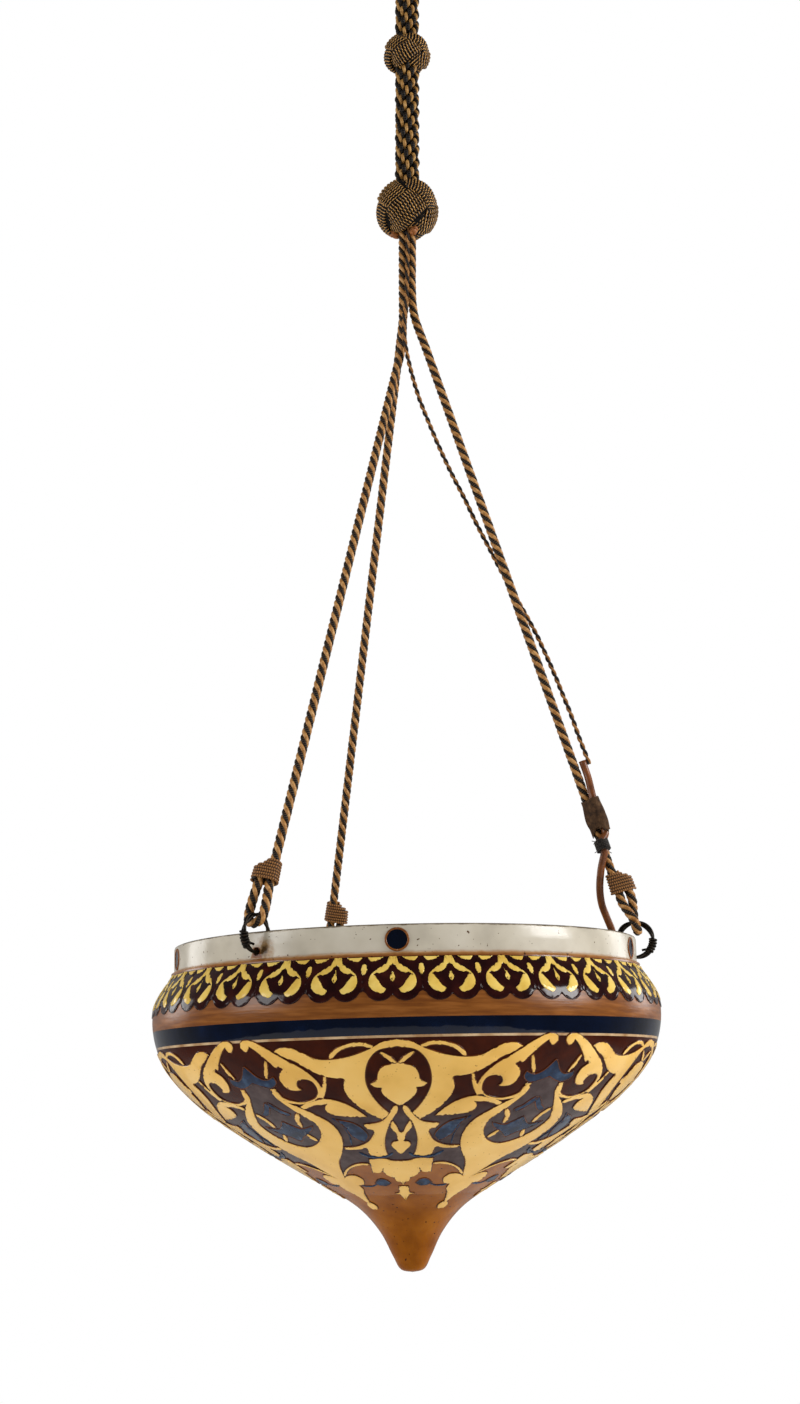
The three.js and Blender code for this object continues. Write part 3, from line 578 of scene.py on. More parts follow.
# Linen thread, twisted and waxed: near black, with a faint sheen
dark_thread = patchy("waxed_thread", (0.3, "#14100D"), (0.7, "#2E241C"), size=0.6, gloss=0.7)
# Brass, turned, lacquered and aged: brown gold
old_brass = patchy(
    "aged_brass", (0.3, "#8A6A34"), (0.6, "#A8843F"), (0.85, "#B8965A"),
    size=6, gloss=0.34, Metallic=1.0,
)
# Steel, turned and zinc plated, gone dull: mid grey with a soft shine
dull_steel = patchy(
    "dulled_steel", (0.3, "#77756F"), (0.7, "#94928C"), size=4, gloss=0.38, Metallic=1.0,
)
# Iron fittings, forged and blackened: brown black with a dull shine
forged_iron = patchy(
    "forged_iron", (0.35, "#24201D"), (0.6, "#35302B"), (0.85, "#4E3A2C"),
    size=5, gloss=0.55, Metallic=1.0, bump=lambda tree: (grain(tree, 1.5, 3), 0.08),
)
# Brown phenolic, moulded: dark brown, smooth
brown_moulding = patchy("brown_phenolic", (0.3, "#22120B"), (0.7, "#301A10"), size=7, gloss=0.25)
# Beech, turned and oiled: pale brown, the grain along the turning
turned_beech = patchy(
    "oiled_beech", (0.3, "#7A5431"), (0.5, "#9A7046"), (0.75, "#AE8658"),
    size=2, stretch=(0.3, 0.3, 3), gloss=0.5,
)
# Porcelain, pressed and glazed: clean white
porcelain = patchy(
    "glazed_porcelain", (0.3, "#DEDBD2"), (0.7, "#EAE8E0"), size=9, gloss=0.12, IOR=1.5,
)
# Opal glass, blown: milky white, lets light through
opal_glass = patchy(
    "opal_glass", (0.3, "#EFEBE0"), (0.7, "#F8F5EC"), size=20, gloss=0.16, IOR=1.5,
    Transmission_Weight=0.35, Subsurface_Weight=0.2, Subsurface_Radius=(0.004, 0.004, 0.004),
)
# Black glass of the bulb's foot, pressed: brown black with a hard shine
black_glass = finish_of("black_glass", "#15130F", Roughness=0.12, IOR=1.5)
# Soft solder, cast in a drop: pale grey
solder = patchy(
    "soft_solder", (0.3, "#8E8C88"), (0.7, "#A9A7A2"), size=2, gloss=0.35, Metallic=1.0,
)


# Bowl: its outer wall as a line from the groove under the rim down to the tip
OUTLINE = [
    (0, 0), (7.6, 1.9), (12.4, 10), (20.3, 25.2), (33.6, 40.5), (61, 58.4), (103.1, 84.1),
    (139.7, 109.8), (161.8, 134.8), (169, 155.3), (168.4, 173), (157, GROOVE),
]
wall = evenly(smoothed(OUTLINE, 0.5), 1.5)
down_wall = [(p.x, p.y) for p in reversed(wall)]
WALL_STEP = distances(wall)[-1] / (len(wall) - 1)


def on_wall(azimuth, down, lift=0):
    """Point on the bowl's outside: degrees round from the front, mm down from the groove."""
    if down < 0:
        r, z = RIM_RADIUS if down < -2 else RIM_FOOT[0], GROOVE - down
        out = (1, 0)
    else:
        i = min(int(down / WALL_STEP), len(down_wall) - 2)
        share = down / WALL_STEP - i
        (r0, z0), (r1, z1) = down_wall[i], down_wall[i + 1]
        r, z = r0 + (r1 - r0) * share, z0 + (z1 - z0) * share
        size = hypot(r1 - r0, z1 - z0)
        out = ((z0 - z1) / size, (r1 - r0) / size)
    return BOWL @ from_front(r + out[0] * lift, radians(azimuth), z + out[1] * lift)


# The inner wall ends where the floor's flat part begins
FLOOR_RADIUS = 37
inner_wall = []
for i, (r, z) in enumerate(down_wall):
    (r0, z0), (r1, z1) = down_wall[max(0, i - 1)], down_wall[min(len(down_wall) - 1, i + 1)]
    size = hypot(r1 - r0, z1 - z0)
    inner = (r - BOWL_WALL * (z0 - z1) / size, z - BOWL_WALL * (r1 - r0) / size)
    if inner[0] > FLOOR_RADIUS:
        inner_wall.append(inner)
rim_outside = [
    RIM_FOOT, (RIM_RADIUS, 195.6), (RIM_RADIUS, 203), (RIM_RADIUS, RIM_HEIGHT - 1.4),
    (RIM_RADIUS - 0.4, RIM_HEIGHT - 0.4), (RIM_RADIUS - 1.4, RIM_HEIGHT),
]
bowl_inside = [
    (INNER_RIM + 1.4, RIM_HEIGHT), (INNER_RIM + 0.4, RIM_HEIGHT - 0.4),
    (INNER_RIM, RIM_HEIGHT - 1.4), (INNER_RIM, 203), (INNER_RIM, 195),
    *inner_wall, (0, inner_wall[-1][1]),
]
# A mark for each point: mm down from the groove outside, and one number for all the inside
INSIDE = 1000
marks = [WALL_STEP * i for i in range(len(down_wall))][::-1]
marks += [GROOVE - z for _, z in rim_outside] + [INSIDE] * len(bowl_inside)
bowl = spun(down_wall[::-1] + rim_outside + bowl_inside, 200, BOWL, False, marks)
# How far down each glaze goes, and its number on the bowl
BANDS = ((0, 0), (38.8, 1), (49.2, 2), (50.4, 3), (400, 4), (INSIDE, 5))
for face in bowl.faces:
    down = sum(v[bowl.verts.layers.float["down"]] for v in face.verts) / len(face.verts)
    face.material_index = next(band for edge, band in BANDS if down <= edge)
bowl_shell = piece("bowl_shell", bowl, [
    white_glaze, tan_glaze, cobalt_glaze, pale_line_glaze, ground_glaze, inner_glaze,
], ["bowl"], sharp=50)
for _, azimuth, *_ in STATIONS:
    through_rim = Matrix.Translation((0, -RIM_RADIUS, RIM_HOLE_HEIGHT))
    through_rim = turned_bowl(azimuth) @ through_rim @ Matrix.Rotation(pi / 2, 4, "X")
    cut_away(bowl_shell, rod(RIM_HOLE_RADIUS, 24, 24, through_rim))


# Painted relief. Shapes are half outlines in degrees from their axis and mm down from the
# groove; a third number marks a corner
SHAPES = {
    "wing": [
        (0, 51.7), (2.6, 53.1), (5.5, 57.1), (9.3, 61.1), (13.6, 63.3), (17, 62.8), (20, 58.9),
        (23, 55.1), (25.7, 55.6), (26.7, 57.3, 1), (24.7, 60.6), (22, 64.7), (19.3, 70.3),
        (16.5, 74.9), (12.1, 77.4, 1), (12.7, 85.3), (12.3, 91.7), (10.8, 98.9), (8.6, 106),
        (5.2, 114, 1), (3, 107.6, 1), (5, 99.6), (6.5, 91), (7.3, 81.7), (7, 72.4), (5.8, 63.9),
        (3.8, 58.5), (0, 56.4),
    ],
    "wing_loop": [
        (4.8, 56.1), (7, 54.6), (9, 54.6), (11, 55.9), (12.6, 58), (13.6, 60.6), (14.3, 63),
    ],
    "palmette_arm": [(3.5, 59.6), (1.8, 63.1), (0.4, 66.9)],
    "palmette": [
        (0, 66.4), (1.5, 67.6, 1), (3.3, 69.4), (4.3, 73.5), (4.8, 78.5), (6.5, 81.9, 1),
        (5.5, 84.3), (4.1, 84.3, 1), (4, 89.2), (2.3, 95.3), (1, 98.5), (0, 101.6),
    ],
    "leg": [
        (0.7, 100.3, 1), (1.6, 101), (3, 107.8), (5.1, 114.6), (6.4, 116.6), (10.8, 118.6, 1),
        (10.2, 122.8), (8.3, 125.8), (9.4, 132.5), (11.3, 138.1), (15.4, 142.6), (20.7, 143.8, 1),
        (20.5, 146.1, 1), (15.4, 145.8), (12.2, 144.1, 1), (11.9, 152.5, 1), (8.4, 154.5),
        (5, 153.1, 1), (5.4, 145), (5.1, 135), (4.1, 125), (2.9, 116.2), (0.8, 105.3),
    ],
    "leg_curl": [
        (7.8, 125.2), (6.4, 124.7), (5.8, 122.5), (6.5, 121.1), (7.3, 121.9), (7.3, 123.2),
    ],
    "small_heart": [
        (0, 128.1), (0.6, 126.9), (1.5, 120), (2.5, 115, 1), (3.1, 121.9), (1.7, 128.8),
        (0.9, 137.5, 1), (2.3, 137.9), (3.3, 141.2), (1.7, 147.5), (0, 153.1),
    ],
    "scroll": [
        (34.9, 51.4), (34.9, 54.2), (33.9, 56.9), (33.1, 55.3), (32.6, 53, 1), (30.3, 58.9),
        (27.3, 68.3, 1), (26.7, 67.1), (25.9, 69.1, 1), (27.4, 73.1), (27.7, 78.1), (26.7, 83.9),
        (25, 86), (23.3, 85.1, 1), (24, 82.8), (23.3, 78.1), (21.8, 77.1), (20.1, 78.5),
        (19.4, 83.1), (19.9, 89.6), (21.7, 93.4), (25, 95.4), (27.7, 94.3), (29.7, 91), (30.3, 86),
        (31.8, 85.3, 1), (31.2, 93.1), (28.3, 96), (25, 97.1), (22, 96), (20, 92.4),
        (18.7, 92.8, 1), (17.1, 84.9), (16, 75.3, 1), (16.8, 75.4, 1), (17.4, 80.3), (18, 83.6, 1),
        (19, 76.7), (21.3, 68.9), (24.3, 63.1), (27, 57.8), (29.7, 52.8), (32.3, 49.6), (34, 49.6),
    ],
    "leaf": [
        (9.1, 110.9, 1), (11.3, 103.5), (14.3, 96.7), (18.3, 93.3), (21.3, 94.6), (24.7, 97.3),
        (26.3, 100, 1), (25.7, 101.9), (22.3, 99), (18.5, 97.6, 1), (19.6, 101.7), (19, 106.6),
        (15, 109.7),
    ],
    "strap": [
        (30.6, 83.5, 1), (32, 83.9, 1), (31.7, 90.3), (29.7, 99.2), (27, 109.6), (25.3, 116.2),
        (25.3, 123.8), (26.8, 131.9), (29.6, 138.1), (33.5, 142.1), (36, 142.9, 1), (36, 220.4, 1),
        (31.9, 219.6), (30.7, 217), (32.4, 214.2), (34.9, 212.4, 1), (30.4, 201), (27.7, 194.4),
        (28.3, 190, 1), (24.2, 189.2), (22.3, 184), (24.2, 178.6), (29.3, 178.4), (32.6, 180.8, 1),
        (30.4, 172.4), (27.4, 162), (24.9, 155.6), (21.7, 146.2), (19.8, 136.9), (19.4, 128.8),
        (19.8, 120.6), (21.3, 113.1), (22.3, 110.6), (25.7, 102.4), (29.3, 95.3),
    ],
    "crown": [
        (36, 65.6, 1), (35, 69.6), (33.5, 74.6), (31.7, 76.9), (29.2, 74.6, 1), (29.1, 78.5),
        (31.2, 83.1), (33.3, 82.1), (36, 78.7),
    ],
    "crown_strip": [(29.4, 63.1), (30.2, 68.9), (31.2, 75.4)],
    "field_strip_1": [(28.5, 106), (30.2, 112.4), (30.8, 120.3)],
    "field_strip_2": [(31.2, 128.1), (30.4, 131.6), (29, 135.8)],
    "field": [
        (36, 78.5, 1), (33, 81.7), (31.2, 83.9), (31.2, 91.7), (29.3, 99.6), (26.7, 108.9),
        (24.5, 116.2), (24.7, 123.8), (26, 130.6), (28.8, 137.5), (31.1, 141.9), (36, 144.1, 1),
    ],
    "wave_1": [(36, 96, 1), (34.7, 100.3), (33, 105.3), (31.2, 107.4)],
    "wave_2": [
        (36, 113.8, 1), (33.5, 119.4), (31.5, 122.2), (26.8, 119.4, 1), (28.4, 124.4),
        (31.1, 128.4), (33.5, 131.9), (36, 136.6),
    ],
    "side_leaf": [
        (18.4, 113.1, 1), (13.9, 116.9), (11.5, 123.8), (10.5, 131.9), (12.7, 138.4, 1),
        (15.8, 131.2), (16.6, 122.5),
    ],
    "side_line": [(19.3, 111.9), (17.5, 117.5), (16.7, 126.2), (16.9, 136.2), (17.3, 141.9)],
    "foot_scallop": [
        (2.9, 151.6), (5.3, 155.1), (8.4, 156.4), (11.7, 155.9), (14.3, 153.1), (16, 150),
    ],
    "yoke": [
        (0, 160.6), (3.6, 160), (6.7, 157.4), (13.1, 158.2, 1), (13.5, 167), (14.2, 174.4, 1),
        (9.8, 174), (8.1, 169.2, 1), (8.7, 174.4), (4.6, 181.6), (0, 189.2),
    ],
    "yoke_line": [(13.7, 164.4), (18, 164), (22.6, 167), (26.8, 171.6), (31.6, 178.4)],
    "drop": [
        (-0.2, 191.8), (3, 192.2, 1), (3.6, 199.6), (6.6, 200.8, 1), (3.4, 202.8), (-0.2, 210.4),
    ],
    "eye": [
        (7.1, 188.4, 1), (9.3, 184), (12.9, 183.2), (16.7, 188.4, 1), (13.9, 190.8), (9.8, 191.2),
    ],
    "eye_tail": [(14.9, 189), (20.1, 192), (26.4, 191.6)],
    "ochre": [
        (0, 189.2, 1), (4.6, 180), (8.7, 172.4), (13.9, 165.2), (18, 164.4), (22.6, 167.2),
        (26.8, 171.6), (32, 180), (36, 186, 1), (36, 204, 1), (0, 204, 1),
    ],
    "heart_ground": [
        (0, 0.1, 1), (6, 0.1, 1), (6, 23.3, 1), (5.3, 24.3), (4.6, 27), (3.4, 28.9), (2.2, 29.1),
        (1, 27.9), (0, 24.8, 1),
    ],
    "crescent": [
        (0, -0.2, 1), (0.95, -0.2, 1), (1.1, 3.4), (2.1, 7), (3.2, 9.3), (4.15, 12.1), (4.75, 15.7),
        (4.85, 19.3), (4.3, 22.7), (3.1, 24.9), (1.8, 25.2), (1.15, 22.6, 1), (2.1, 20.5),
        (2.75, 18), (3.25, 15.6), (3.95, 13.3, 1), (3.3, 11.7), (2.45, 12.1), (1.25, 9.8),
        (0.55, 7), (0, 4.8, 1),
    ],
    "teardrop": [(0, 8.4, 1), (0.28, 12), (0.52, 15.4), (0.36, 17.6), (0, 18.4)],
    "between": [(6, 4.8, 1), (5.5, 6.6), (5.35, 9.6), (5.55, 12.6), (6, 14.6, 1)],
    "chip": [(1.9, 0, 1), (5.5, 0, 1), (5.1, 2.1), (4.2, 3.3), (3, 2.2)],
}
# Flat mm for a degree round the bowl, at which the shapes are drawn, and the side of the squares
# that they are cut in, so that they follow the bowl
FLAT, SQUARE = 2.4, 3
# Points of a shape that are no further from its axis than this, in flat mm, are brought onto it
NEAR_AXIS = 0.6
# Rounded edge of a raised shape: width of each of its steps and the step's share of the height
EDGE = ((0.3, 0.7), (0.4, 0.3))
# How deep a raised shape's foot lies in the bowl, and how far above it a trailed line's middle is
SUNK, LINE_LIFT = 0.1, 0.1


def lag(down):
    """Degrees by which the hand-drawn leaves stand round from the front at a height."""
    return -2.4 - 2.1 * eased((down - 110) / 75)


def outline_of(name, closes):
    """The smooth half outline of a shape, in flat mm; one that closes ends on its axis."""
    points = SHAPES[name]
    corners = [i for i, p in enumerate(points) if len(p) == 3]
    flat = [(a * FLAT, s) for a, s, *_ in points]
    return smoothed(flat if closes else flat + flat[:1], 1.1, corners)


def halves(axis, closes, *names):
    """Outlines of shapes, each with the degrees that its axis stands at."""
    return [(outline_of(name, closes), axis) for name in names]


def strokes(axis, **widths):
    """Outlines of strokes along a few points, narrower at their ends."""
    found = []
    for name, width in widths.items():
        line = evenly(smoothed([(a * FLAT, s) for a, s, *_ in SHAPES[name]], 1), 1.5)
        left, right = [], []
        for i, (point, (ahead, _, _)) in enumerate(zip(line, turning(line, Vector((0, 0, 1))))):
            edge = min(i, len(line) - 1 - i)
            across = Vector((-ahead.y, ahead.x, 0)) * width / 2 * (0.5, 0.85, 1)[min(edge, 2)]
            left.append(point + across)
            right.append(point - across)
        found.append((left + right[::-1] + left[:1], axis))
    return found


def closing(outline, axis):
    """The outline with its points near the axis brought onto it."""
    axis *= FLAT
    return [Vector((axis if abs(p.x - axis) < NEAR_AXIS else p.x, p.y, 0)) for p in outline]


def whole(shape):
    """All that a shape is made of."""
    return shape.verts[:] + shape.edges[:] + shape.faces[:]


def relief(name, outlines, height, material, repeats=5, lags=lag):
    """Raised shapes laid on the bowl, each mirrored about its axis and repeated round it."""
    shape = bmesh.new()
    for outline, axis in outlines:
        part = bmesh.new()
        for point in closing(outline, axis):
            part.verts.new(point)
        bmesh.ops.remove_doubles(part, verts=part.verts, dist=0.02)
        part.faces.new(part.verts[:])
        part.normal_update()
        bmesh.ops.triangulate(part, faces=part.faces[:], ngon_method="EAR_CLIP")
        for normal in (Vector((1, 0, 0)), Vector((0, 1, 0))):
            reach = [int(normal.dot(point) // SQUARE) for point in outline]
            for k in range(min(reach) + 1, max(reach) + 1):
                bmesh.ops.bisect_plane(
                    part, geom=whole(part), dist=0.01, plane_co=normal * k * SQUARE,
                    plane_no=normal,
                )
        # The operator takes the mirror's place with its sign turned
        bmesh.ops.mirror(
            part, geom=whole(part), matrix=Matrix.Translation((-axis * FLAT, 0, 0)), axis="X",
        )
        on_axis = [vert for vert in part.verts if abs(vert.co.x - axis * FLAT) < 0.01]
        bmesh.ops.remove_doubles(part, verts=on_axis, dist=0.005)
        flat = mesh_of(part, name, 1)
        for k in range(repeats):
            before = len(shape.verts)
            shape.from_mesh(flat)
            shape.verts.ensure_lookup_table()
            for vert in shape.verts[before:]:
                azimuth = vert.co.x / FLAT + k * 360 / repeats + lags(vert.co.y)
                vert.co = on_wall(azimuth, vert.co.y, -SUNK)
        bpy.data.meshes.remove(flat)
    middle = BOWL @ Vector((0, 0, 150))
    shape.normal_update()
    for face in shape.faces:
        if face.normal.dot(face.calc_center_median() - middle) < 0:
            face.normal_flip()
    shape.normal_update()
    top = shape.faces[:]
    for width, share in EDGE:
        bmesh.ops.inset_region(
            shape, faces=top, thickness=width, depth=(height + SUNK) * share, use_boundary=True,
        )
    return piece(name, shape, [material], sharp=60)


def drawn_round(name, outlines, radius, material, repeats=5, lags=lag):
    """A trailed line of glaze round the same shapes, without a line along their axis."""
    lines = []
    for outline, axis in outlines:
        outline, stretches = closing(outline, axis), [[]]
        for point, after in zip(outline, outline[1:] + outline[-1:]):
            stretches[-1].append(point)
            if max(abs(point.x - axis * FLAT), abs(after.x - axis * FLAT)) < 0.01:
                stretches.append([])
        for stretch in stretches:
            for k in range(repeats if len(stretch) > 2 else 0):
                for side in (1, -1):
                    lines.append([on_wall(
                        axis + side * (point.x / FLAT - axis) + k * 360 / repeats + lags(point.y),
                        point.y, LINE_LIFT,
                    ) for point in stretch])
    wires(name, lines, radius, 6, [material])


leaves = halves(0, True, "wing", "palmette", "small_heart", "yoke", "drop")
leaves += halves(36, True, "strap")
tendrils = halves(0, False, "scroll", "leaf", "leg") + strokes(
    0, wing_loop=2.4, palmette_arm=2.4, crown_strip=2.2, field_strip_1=3.4, field_strip_2=3.4,
    yoke_line=2,
)
blue = halves(36, True, "crown", "wave_2") + halves(0, False, "side_leaf", "eye")
blue += strokes(36, wave_1=4)
relief("leaf_relief", leaves, 0.75, cream_glaze)
relief("tendril_relief", tendrils, 0.75, cream_glaze)
drawn_round("leaf_lines", leaves + tendrils, 0.5, line_glaze)
relief("blue_relief", blue, 0.45, smoke_glaze)
drawn_round("blue_lines", blue, 0.5, line_glaze)
relief("field_patches", halves(36, True, "field"), 0.14, mauve_glaze)
relief("ochre_patches", halves(0, True, "ochre"), 0.14, ochre_glaze)
dark = strokes(0, leg_curl=0.9, side_line=1.2, foot_scallop=2.5, eye_tail=1.6)
relief("dark_strokes", dark, 0.5, smoke_glaze)

# Border of thirty hearts, and five blue dots on the rim
hearts = {"repeats": 30, "lags": lambda down: -2.96}
heart_ground = halves(0, True, "heart_ground")
petals = halves(0, True, "teardrop", "crescent") + halves(6, True, "between")
relief("border_hearts", heart_ground, 0.55, manganese_glaze, **hearts)
relief("border_petals", petals, 0.85, lemon_glaze, **hearts)
relief("border_chips", halves(0, False, "chip"), 0.8, lemon_glaze, **hearts)
drawn_round("heart_lines", heart_ground, 0.5, manganese_glaze, **hearts)
dots = {"lags": lambda down: -2}
dot = [([Vector((
    2.5 * sin(t * pi / 16) * FLAT, -10.5 - 6.5 * cos(t * pi / 16), 0,
)) for t in range(17)], 0)]
relief("rim_dots", dot, 0.35, cobalt_glaze, **dots)
drawn_round("rim_dot_lines", dot, 0.7, tan_glaze, **dots)


# Cords: each from the ball round its rim ring and back up to where its two legs are whipped.
# A cord's place is its station on the bowl, its loop's seat on the ring and the point where it
# leaves the bundle; its directions are up it, across its two legs, along its ring and its depth
Hang = namedtuple("Hang", "station seat leave up across along depth")


def lay_out(azimuth, return_side, bundle_azimuth, leave_height):
    """Where a cord's loop hangs on its ring, and the directions that it runs in."""
    station = turned_bowl(azimuth)
    seat = station @ Vector((0, -RIM_RADIUS, RIM_HOLE_HEIGHT + RING_RISE + RING_RADIUS))
    leave = from_front(CORD_RING, radians(bundle_azimuth), TIP + leave_height)
    across = Vector((return_side, 0, 0))
    up = (leave + across * LEG_OFFSET - seat).normalized()
    across = (across - up * across.dot(up)).normalized()
    along = station.to_3x3() @ Vector((1, 0, 0))
    along = -along if along.dot(across) < 0 else along
    along = (along - up * along.dot(up)).normalized()
    return Hang(station, seat, leave, up, across, along, up.cross(across))


def leg_point(hang, height, side):
    """Point on a loop's leg: side -1 is the cord coming down, side 1 what goes back up."""
    turn = eased(height / LOOP_HEIGHT)
    way = hang.along.lerp(hang.across, turn).normalized()
    reach = LOOP_RADIUS + (LEG_OFFSET - LOOP_RADIUS) * turn
    return hang.seat + hang.up * height + way * side * reach


def cord_way(hang):
    """A cord's middle line, from inside the ball to its end in the whipping."""
    leave = hang.leave
    points = [Vector((leave.x, leave.y, z)) for z in (
        BALL_CENTRE - FIT / 2, (BALL_CENTRE + leave.z) / 2, leave.z + 2 * CORD_DIAMETER,
    )]
    top = leg_point(hang, LOOP_HEIGHT + WHIPPING_HEIGHT, -1)
    points += [leave.lerp(top, 0.012 + 0.988 * i / 15) for i in range(16)]
    points += [leg_point(hang, LOOP_HEIGHT + WHIPPING_HEIGHT * w, -1) for w in (0.5, 0)]
    points += [leg_point(hang, LOOP_HEIGHT * w, -1) for w in (0.7, 0.35)]
    for step in range(9):
        angle = pi * step / 8
        points.append(
            hang.seat - hang.along * LOOP_RADIUS * cos(angle) - hang.up * LOOP_RADIUS * sin(angle)
        )
    points += [leg_point(hang, LOOP_HEIGHT * w, 1) for w in (0.35, 0.7, 1)]
    points.append(leg_point(hang, LOOP_HEIGHT + WHIPPING_HEIGHT * 0.44, 1))
    return evenly(smoothed(points, 1), 1.5)


def whipping_way(hang, wire, shift=0):
    """A wound thread, a share of a turn lower: round at its top, oval lower over both legs."""
    found, steps = [], 36
    for i in range(WHIPPING_TURNS * steps + 1):
        angle, down = 2 * pi * i / steps, i / (WHIPPING_TURNS * steps)
        spread = eased(down / WHIPPING_TAPER)
        reach = (CORD_RADIUS + FIT + wire / 2) * (0.98 + 0.14 * down)
        over = LEG_OFFSET * spread * min(max(2.2 * cos(angle), -1), 1)
        way = hang.across * (cos(angle) * reach + over) + hang.depth * sin(angle) * reach
        height = LOOP_HEIGHT + WHIPPING_HEIGHT * (1 - down - shift / WHIPPING_TURNS)
        aside = hang.across * LEG_OFFSET * (1 - spread)
        found.append(hang.seat + hang.up * height - aside + way)
    return found


def round_ring(station, turn, inside=0, aside=0):
    """Point on a rim ring, turned from its top inwards; in from it and aside by that many mm."""
    reach = RING_RADIUS - inside
    return station @ Vector((
        aside, reach * sin(turn) - RIM_RADIUS, RIM_HOLE_HEIGHT + RING_RISE + reach * cos(turn),
    ))


hangs = {}
for name, *place in STATIONS:
    hangs[name] = hang = lay_out(*place)
    station, route = hang.station, cord_way(hang)
    made = wires(
        f"cord_{name}_laid", [laid(route, 1.72, 18, pi / 2 * k) for k in range(4)], 1.5, 8,
        [gimp_brown, silk_copper], [f"cord_{name}"], numbers=(0, 1, 0, 1),
    )
    as_cord(route)
    wound = evenly(whipping_way(hang, 1.5), 0.45)
    # A thin dark thread wound half a turn apart from the gimp: painted shade in the grooves between
    # its turns
    between = whipping_way(hang, 0.5, shift=0.5)[:-30]
    wires(
        f"whipping_{name}_wound", [wound, between], 0.84, 8, [gimp_fine, dark_thread],
        [f"whipping_{name}"], numbers=(0, 1), swell=beads(FINE_RIB, 0.05),
    )
    # Rim ring: two wires laid together. Their ends are bound on the ring's outer side, which
    # stays clear of the rim as the ring slips
    ring = [round_ring(station, t * pi / 45) for t in range(90)]
    wires(
        f"rim_wire_{name}", [laid(ring, 0.92, RING_RADIUS * pi, k * pi) for k in range(2)], 1, 8,
        [iron_wire], [f"rim_ring_{name}"], f"ring_{name}", closed=True,
    )
    shank = evenly([round_ring(station, radians(a)) for a in range(226, 276, 4)], 0.1)
    tail = smoothed([round_ring(station, radians(a), inside, 1.2) for a, inside in (
        (230, 1.2), (225, 2.4), (217, 3.2), (209, 3.6),
    )], 0.5)
    wires(
        f"bound_wire_{name}", [evenly(laid(shank, 2.1, 1.75, 0), 0.45), tail], 0.8, 8,
        [iron_wire], body=f"ring_{name}",
    )

# The right cord's line below the bundle, and the directions beside it and in front of it
LEAVE = hangs["right"].leave
RIGHT_WAY = leg_point(hangs["right"], LOOP_HEIGHT + WHIPPING_HEIGHT, -1) - LEAVE
RIGHT_WAY.normalize()
SIDE = -Vector((0, 1, 0)).cross(RIGHT_WAY).normalized()
SIDE = -SIDE if SIDE.x < 0 else SIDE
FRONT = SIDE.cross(RIGHT_WAY).normalized()
FRONT = -FRONT if FRONT.y > 0 else FRONT


def beside_right(height, side=0, front=0):
    """Point beside the right cord at a height above the tip."""
    on_cord = LEAVE + RIGHT_WAY * (TIP + height - LEAVE.z) / RIGHT_WAY.z
    return on_cord + SIDE * side + FRONT * front


# Flex: two cloth-covered strands from the ball to the taped joint. Its points are x, y and mm
# above the tip, with x measured from the right cord's line once it runs beside it
flex_points = [Vector((0, -FLEX_SLOT, z)) for z in (BALL_CENTRE - FIT / 2, TIP + 712)]
flex_points += [Vector((x, y, TIP + height)) for x, y, height in (
    (-1, -6.8, 681), (-2.6, -7.6, 661), (-1.2, -8.9, 643),
)]
flex_points += [Vector((beside_right(height).x + x, y, TIP + height)) for x, y, height in (
    (-17.4, -8.4, 624), (-18.1, -7, 605), (-17, -5.6, 586), (-15.4, -4.6, 567),
    (-13.1, -4, 548), (-10.1, -3.6, 530), (-7.7, -3.2, 511), (-4.4, -2.6, 492),
    (-0.9, -2, 472), (3.3, -2.2, 452), (7.1, -4.2, 430), (8.8, -6, 412),
    (9.6, -8, 398), (10.1, -9.4, 384), (10.7, -10.4, 370), (10.7, -11, 355),
    (11, -11.4, 344), (11.2, -11.6, 335.4),
)]
flex_route = evenly(smoothed(flex_points, 1), 1.2)
flex = wires(
    "twisted_flex_pair", [laid(flex_route, 0.86, 11.2, k * pi) for k in range(2)], 0.9, 8,
    [flex_dark, flex_gold], ["twisted_flex"], numbers=(0, 1),
)
as_cord(flex_route)

# Where the cable lies beside the cord under the tape, and where it enters the lampholder
TAPED, TAPED_TURN = CORD_RADIUS + CABLE_RADIUS + 2 * FIT, radians(50)
TAPED_SIDE, TAPED_FRONT = TAPED * cos(TAPED_TURN), TAPED * sin(TAPED_TURN)
TRAY_TOP, HOLDER_RADIUS = 79, 21
HOLDER_ENTRY = TRAY_TOP + FIT + 13
# Rubber cable: taped and bound to the right cord, then over the rim into the lampholder.
# Past the tape its points are given as mm inside the rim, y, and mm above the rim
cable_points = [beside_right(height, TAPED, CABLE_RADIUS / 3) for height in (335, 324)]
cable_points.append(beside_right(308 + CABLE_RADIUS, TAPED_SIDE + FIT, TAPED_FRONT))
cable_points += [beside_right(h, TAPED_SIDE, TAPED_FRONT) for h in (297.5, 287 - CABLE_RADIUS)]
cable_points += [beside_right(281, 0, TAPED), beside_right(275, -FIT, TAPED)]
RIM_TOP = TIP + RIM_HEIGHT
cable_points += [Vector((RIM_RADIUS - inside, y, RIM_TOP + above)) for inside, y, above in (
    (25, -17, 49.8), (25.6, -12, 37.8), (23.9, -6, 27.8), (19.8, 1, 18.8),
    (15.6, 7, 9.8), (14.2, 11, 0.8), (15.8, 13, -9.2), (18.8, 15, -24.2),
    (21.8, 16, -40.2), (26.8, 16, -60.2), (35, 15, -80.2), (48, 13, -98.2),
    (66.8, 10, -111.2), (89.4, 6.4, -117.6),
)]
cable_points += [BOWL @ Vector((HOLDER_RADIUS + out, 0, HOLDER_ENTRY)) for out in (
    2 * CABLE_DIAMETER, FIT,
)]
cable_route = evenly(smoothed(cable_points, 1), 2)
cable = wires(
    "rubber_lead", [cable_route], CABLE_RADIUS, 16, [rubber], ["rubber_cable"],
)
as_cord(cable_route)

